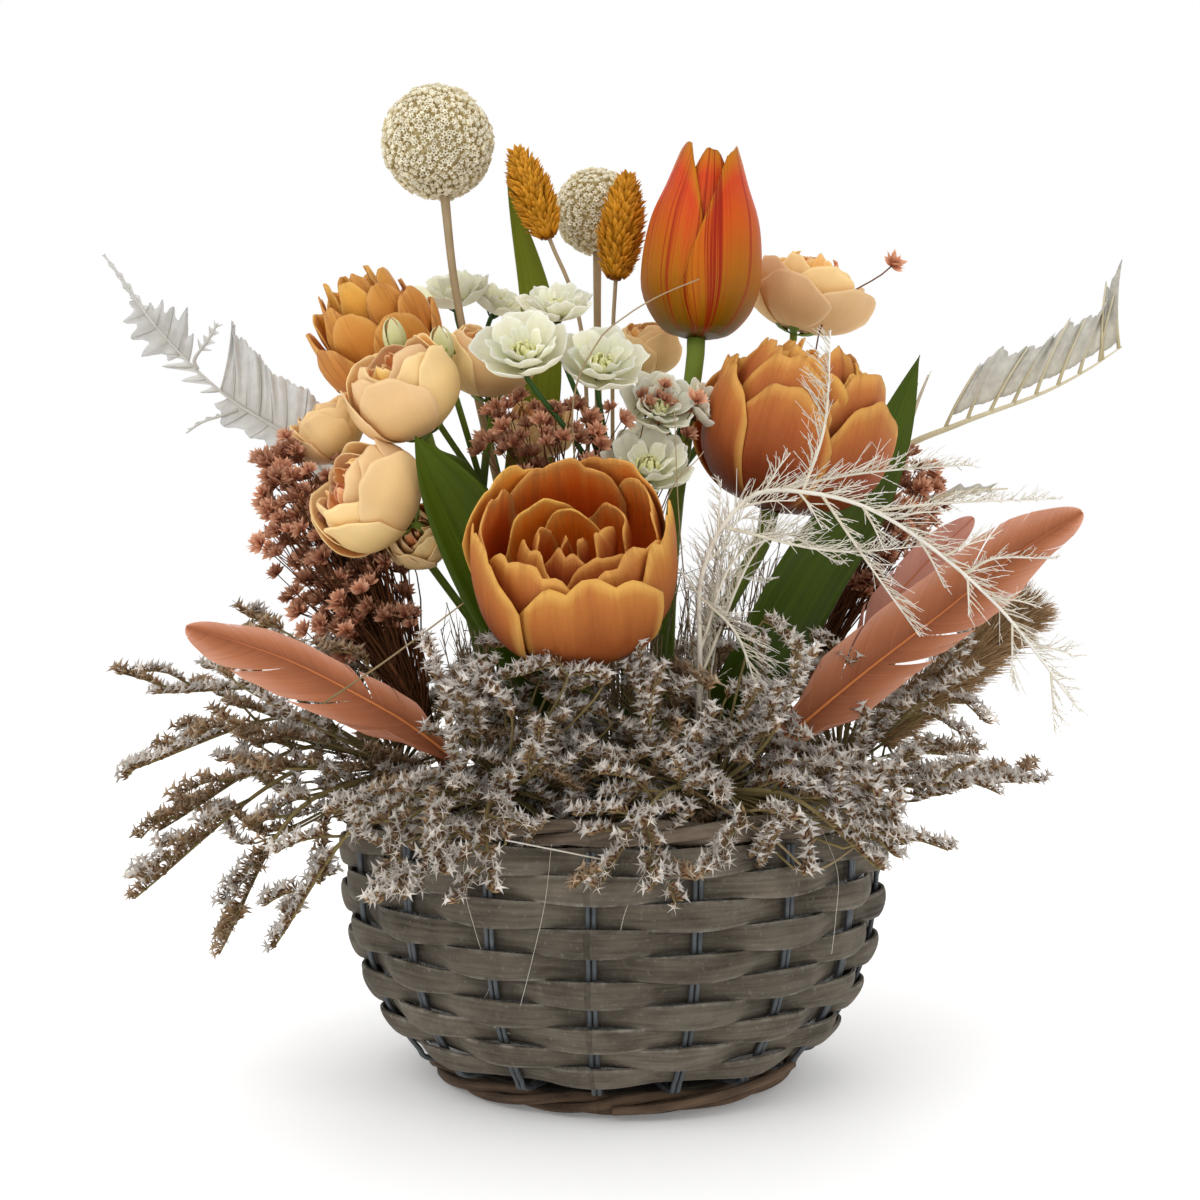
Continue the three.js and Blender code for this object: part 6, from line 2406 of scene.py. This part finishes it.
SPRAYS = (
    Spray("sea_lavender_left", (-66, -20), (-76, -26, 112), (
        ((-116, -22, 130), (-176, -16, 110)), ((-112, -46, 112), (-164, -50, 70)),
        ((-100, -30, 140), (-128, -36, 162)), ((-98, 0, 116), (-128, 14, 120)),
        ((-112, -16, 138), (-168, -10, 138)), ((-110, -38, 120), (-158, -40, 92)),
        ((-108, -56, 100), (-132, -62, 54))),
        (64, (-140, -56, 96), (-70, 14, 158)), 0.4, 301),
    Spray("sea_lavender_front_left", (-30, -64), (-36, -74, 110), (
        ((-78, -86, 104), (-112, -72, 58)), ((-50, -96, 110), (-60, -110, 84)),
        ((-46, -86, 128), (-56, -92, 148)), ((-28, -94, 116), (-22, -106, 124)),
        ((-40, -100, 106), (-38, -112, 84)),
        ((-64, -90, 104), (-72, -98, 84))),
        (150, (-88, -102, 100), (-16, -56, 158)), 0.12, 302, ((-100, -110, 112), (-52, -50, 170))),
    Spray("sea_lavender_front_right", (30, -66), (32, -74, 110), (
        ((14, -102, 112), (-6, -112, 84)), ((56, -96, 110), (84, -86, 86)),
        ((48, -84, 126), (60, -90, 150)), ((14, -88, 122), (8, -92, 142)),
        ((10, -104, 106), (18, -112, 80)), ((40, -100, 106), (30, -108, 92)),
        ((70, -84, 106), (92, -70, 88))),
        (150, (-18, -102, 98), (88, -54, 160)), 0.08, 303, ((60, -110, 122), (100, -50, 170))),
    Spray("sea_lavender_right", (74, -24), (80, -26, 110), (
        ((112, -36, 108), (152, -30, 108)), ((104, -30, 132), (124, -34, 154)),
        ((98, -62, 110), (112, -74, 112)), ((108, 8, 114), (130, 24, 112))),
        (44, (70, -70, 108), (124, 18, 152)), 0.2, 304),
    Spray("sea_lavender_back", (0, 66), (0, 72, 112), (
        ((-46, 90, 116), (-88, 92, 96)), ((-18, 92, 128), (-30, 106, 150)),
        ((44, 92, 114), (84, 92, 100)), ((16, 88, 130), (28, 100, 152))),
        (70, (-84, 58, 106), (84, 104, 150)), 0.2, 305),
)


@dataclass(frozen=True)
class Threads:
    """Loose twigs that arch through the flowers, and pale threads that hang over the basket.

    Attributes:
        twigs: Points and radius of each twig.
        threads: Points of each thread.
        cane: The number of the one thread that is a thin cane.
        haze: Number of dried stems between the flowers.
    """

    twigs: tuple[tuple[Path, float], ...] = (
        (((-8, -30, 130), (-12, -40, 200), (-14, -57, 238), (-6, -60, 258), (3, -58, 267), (15, -54, 275),
          (29, -48, 282)), 0.42),
        (((-93, -87, 139), (-72, -85, 153.5), (-49, -79, 171)), 0.4),
        (((96, 28, 180), (118, 30, 204), (140, 30, 214)), 0.45),
        (((22, -88, 113), (49, -92, 97), (63, -86, 86), (80, -76, 93)), 0.6),
        (((30, -64, 118), (22, -66, 190), (20, -60, 236)), 0.3),
        (((4, -58, 120), (16, -60, 200), (30, -58, 222)), 0.3),
    )
    threads: tuple[Path, ...] = (
        ((-46, -88, 98), (-48, -92, 84), (-44, -90, 66), (-40, -84, 50), (-44, -80, 38), (-34, -80, 32)),
        ((-20, -98, 96), (-22, -98, 78), (-26, -95, 60), (-30, -91, 44)),
        ((14, -100, 96), (4, -99, 78), (0, -98, 62)),
        ((66, -78, 100), (72, -78, 84), (72, -74, 68), (71, -72, 56)),
        ((-4, -103, 92), (-18, -104, 95), (-34, -103, 98)),
    )
    cane: int = 4
    haze: int = 240

    def build(self) -> None:
        """Build the twigs, the threads and a haze of dried stems between the flowers."""
        form = Form()
        draw = np.random.default_rng(95)
        for x, y in draw.uniform((-62, -34), (64, 26), (self.haze, 2)):
            high = draw.uniform(140, 172 if x < -42 else 196)
            foot = np.array([x * 0.7, y * 0.9, FOAM_TOP])
            top = np.array([x + draw.normal(0, 5), y + draw.normal(0, 5), high])
            line = Line([foot, (foot + top) / 2 + draw.normal(0, 2.5, 3), top])
            form.tube(line.even(12), np.linspace(0.55, 0.2, 12), 5, draw.uniform(), 2)
            share = draw.uniform(0.45, 1.0, 9)
            way = unit(line.ahead(share) + draw.normal(0, 0.45, (9, 3)))
            reach = draw.uniform(4, 13, (9, 1, 1)) * steps(4)[None, :, None]
            paths = line.at(share)[:, None] + way[:, None] * reach
            form.hairs(paths, np.linspace(0.2, 0.1, 4)[None], draw.uniform(size=9), 2)
        for points, thick in self.twigs:
            form.tube(Line(points).even(40), np.linspace(thick, thick * 0.6, 40))
        for index, points in enumerate(self.threads):
            radius = 0.3 if index == self.cane else 0.07
            form.hairs(Line(points).even(40)[None], np.full((1, 40), radius), np.array([0.5]), 1)
        form.build("loose_twigs", [TAN_STEM, BLEACHED, HAZE])


# ---------------------------------------------------------------- camera, light and the whole


def camera() -> None:
    """Set the camera where the photograph was taken from."""
    data = bpy.data.cameras.new("camera")
    data.lens, data.sensor_width = 47.61, 36.0
    eye = bpy.data.objects.new("camera", data)
    eye.location = (-0.0049, -0.592, 0.172)
    eye.rotation_euler = (math.pi / 2, 0, 0)
    bpy.context.scene.collection.objects.link(eye)
    bpy.context.scene.camera = eye


@dataclass(frozen=True)
class GroundFinish(Finish):
    """A plain pale floor."""

    def shade(self, tree: Tree) -> Socket:
        """Give near-white with a faint mottle and a little light of its own.

        Args:
            tree: The material's tree.

        Returns:
            The shader.
        """
        colour = mottle(tree, tint(0xFFFFFF), 3.0, 0.006, 0.0)
        glow = {"Emission Color": (1.0, 1.0, 1.0), "Emission Strength": 0.14}
        inputs = {"Base Color": colour, "Roughness": 0.9, **glow}
        return tree.node("BsdfPrincipled", inputs).outputs[0]


@dataclass(frozen=True)
class Lamp:
    """A soft square lamp that looks at the middle of the arrangement, in metres and watts."""

    name: str
    place: Place
    size: float
    power: float

    def hang(self) -> None:
        """Hang the lamp."""
        lamp = bpy.data.lights.new(self.name, "AREA")
        lamp.energy, lamp.size = self.power, self.size
        holder = bpy.data.objects.new(self.name, lamp)
        holder.location = self.place
        aim = np.array([0, 0, 0.17]) - vector(self.place)
        lean = math.pi - math.acos(aim[2] / np.linalg.norm(aim))
        holder.rotation_euler = (lean, 0, math.atan2(aim[1], aim[0]) - math.pi / 2)
        bpy.context.scene.collection.objects.link(holder)


LAMPS = (
    Lamp("key", (-0.6, -1.2, 1.6), 1.2, 11.0),
    Lamp("fill", (1.3, -1.1, 0.8), 1.2, 1.5),
    Lamp("back", (0.2, 1.5, 1.3), 1.4, 7.0),
)


def studio() -> None:
    """Lay a pale floor, soften the room's light and hang the lamps."""
    grid = np.linspace(-40, 40, 9)
    mesh = bpy.data.meshes.new("ground")
    points = np.stack(np.broadcast_arrays(grid, grid[:, None], -0.0004), axis=-1).reshape(-1, 3)
    mesh.from_pydata(points.tolist(), [], quads(np.arange(81).reshape(9, 9)).tolist())
    floor = bpy.data.objects.new("ground", mesh)
    mesh.materials.append(GroundFinish("ground").material())
    bpy.context.scene.collection.objects.link(floor)
    world = bpy.data.worlds.new("room")
    world.use_nodes = True
    tree = Tree(world.node_tree)
    seen = tree.node("LightPath").outputs["Is Camera Ray"]
    light = world.node_tree.nodes["Background"].inputs
    tree.feed(light["Color"], (1.0, 1.0, 1.0))
    tree.feed(light["Strength"], tree.limits(seen, 0.0, 1.0, (0.88, 1.0)))
    bpy.context.scene.world = world
    for lamp in LAMPS:
        lamp.hang()
    bpy.context.scene.view_settings.view_transform = "Standard"


def main() -> None:
    """Build everything in order."""
    logging.basicConfig(level=logging.INFO, format="%(message)s")
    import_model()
    camera()
    studio()
    Basket().build()
    for tulip in TULIPS:
        tulip.build()
    for index, cluster in enumerate(CLUSTERS):
        cluster.build(200 + index * 20)
    for dried in (*GLOBES, *SEED_HEADS, *FEATHERS, *FERNS, WhiteGrass(), Plume(), *STAR_BUNCHES, *SPRAYS,
                  Threads()):
        dried.build()


if __name__ == "__main__":
    main()
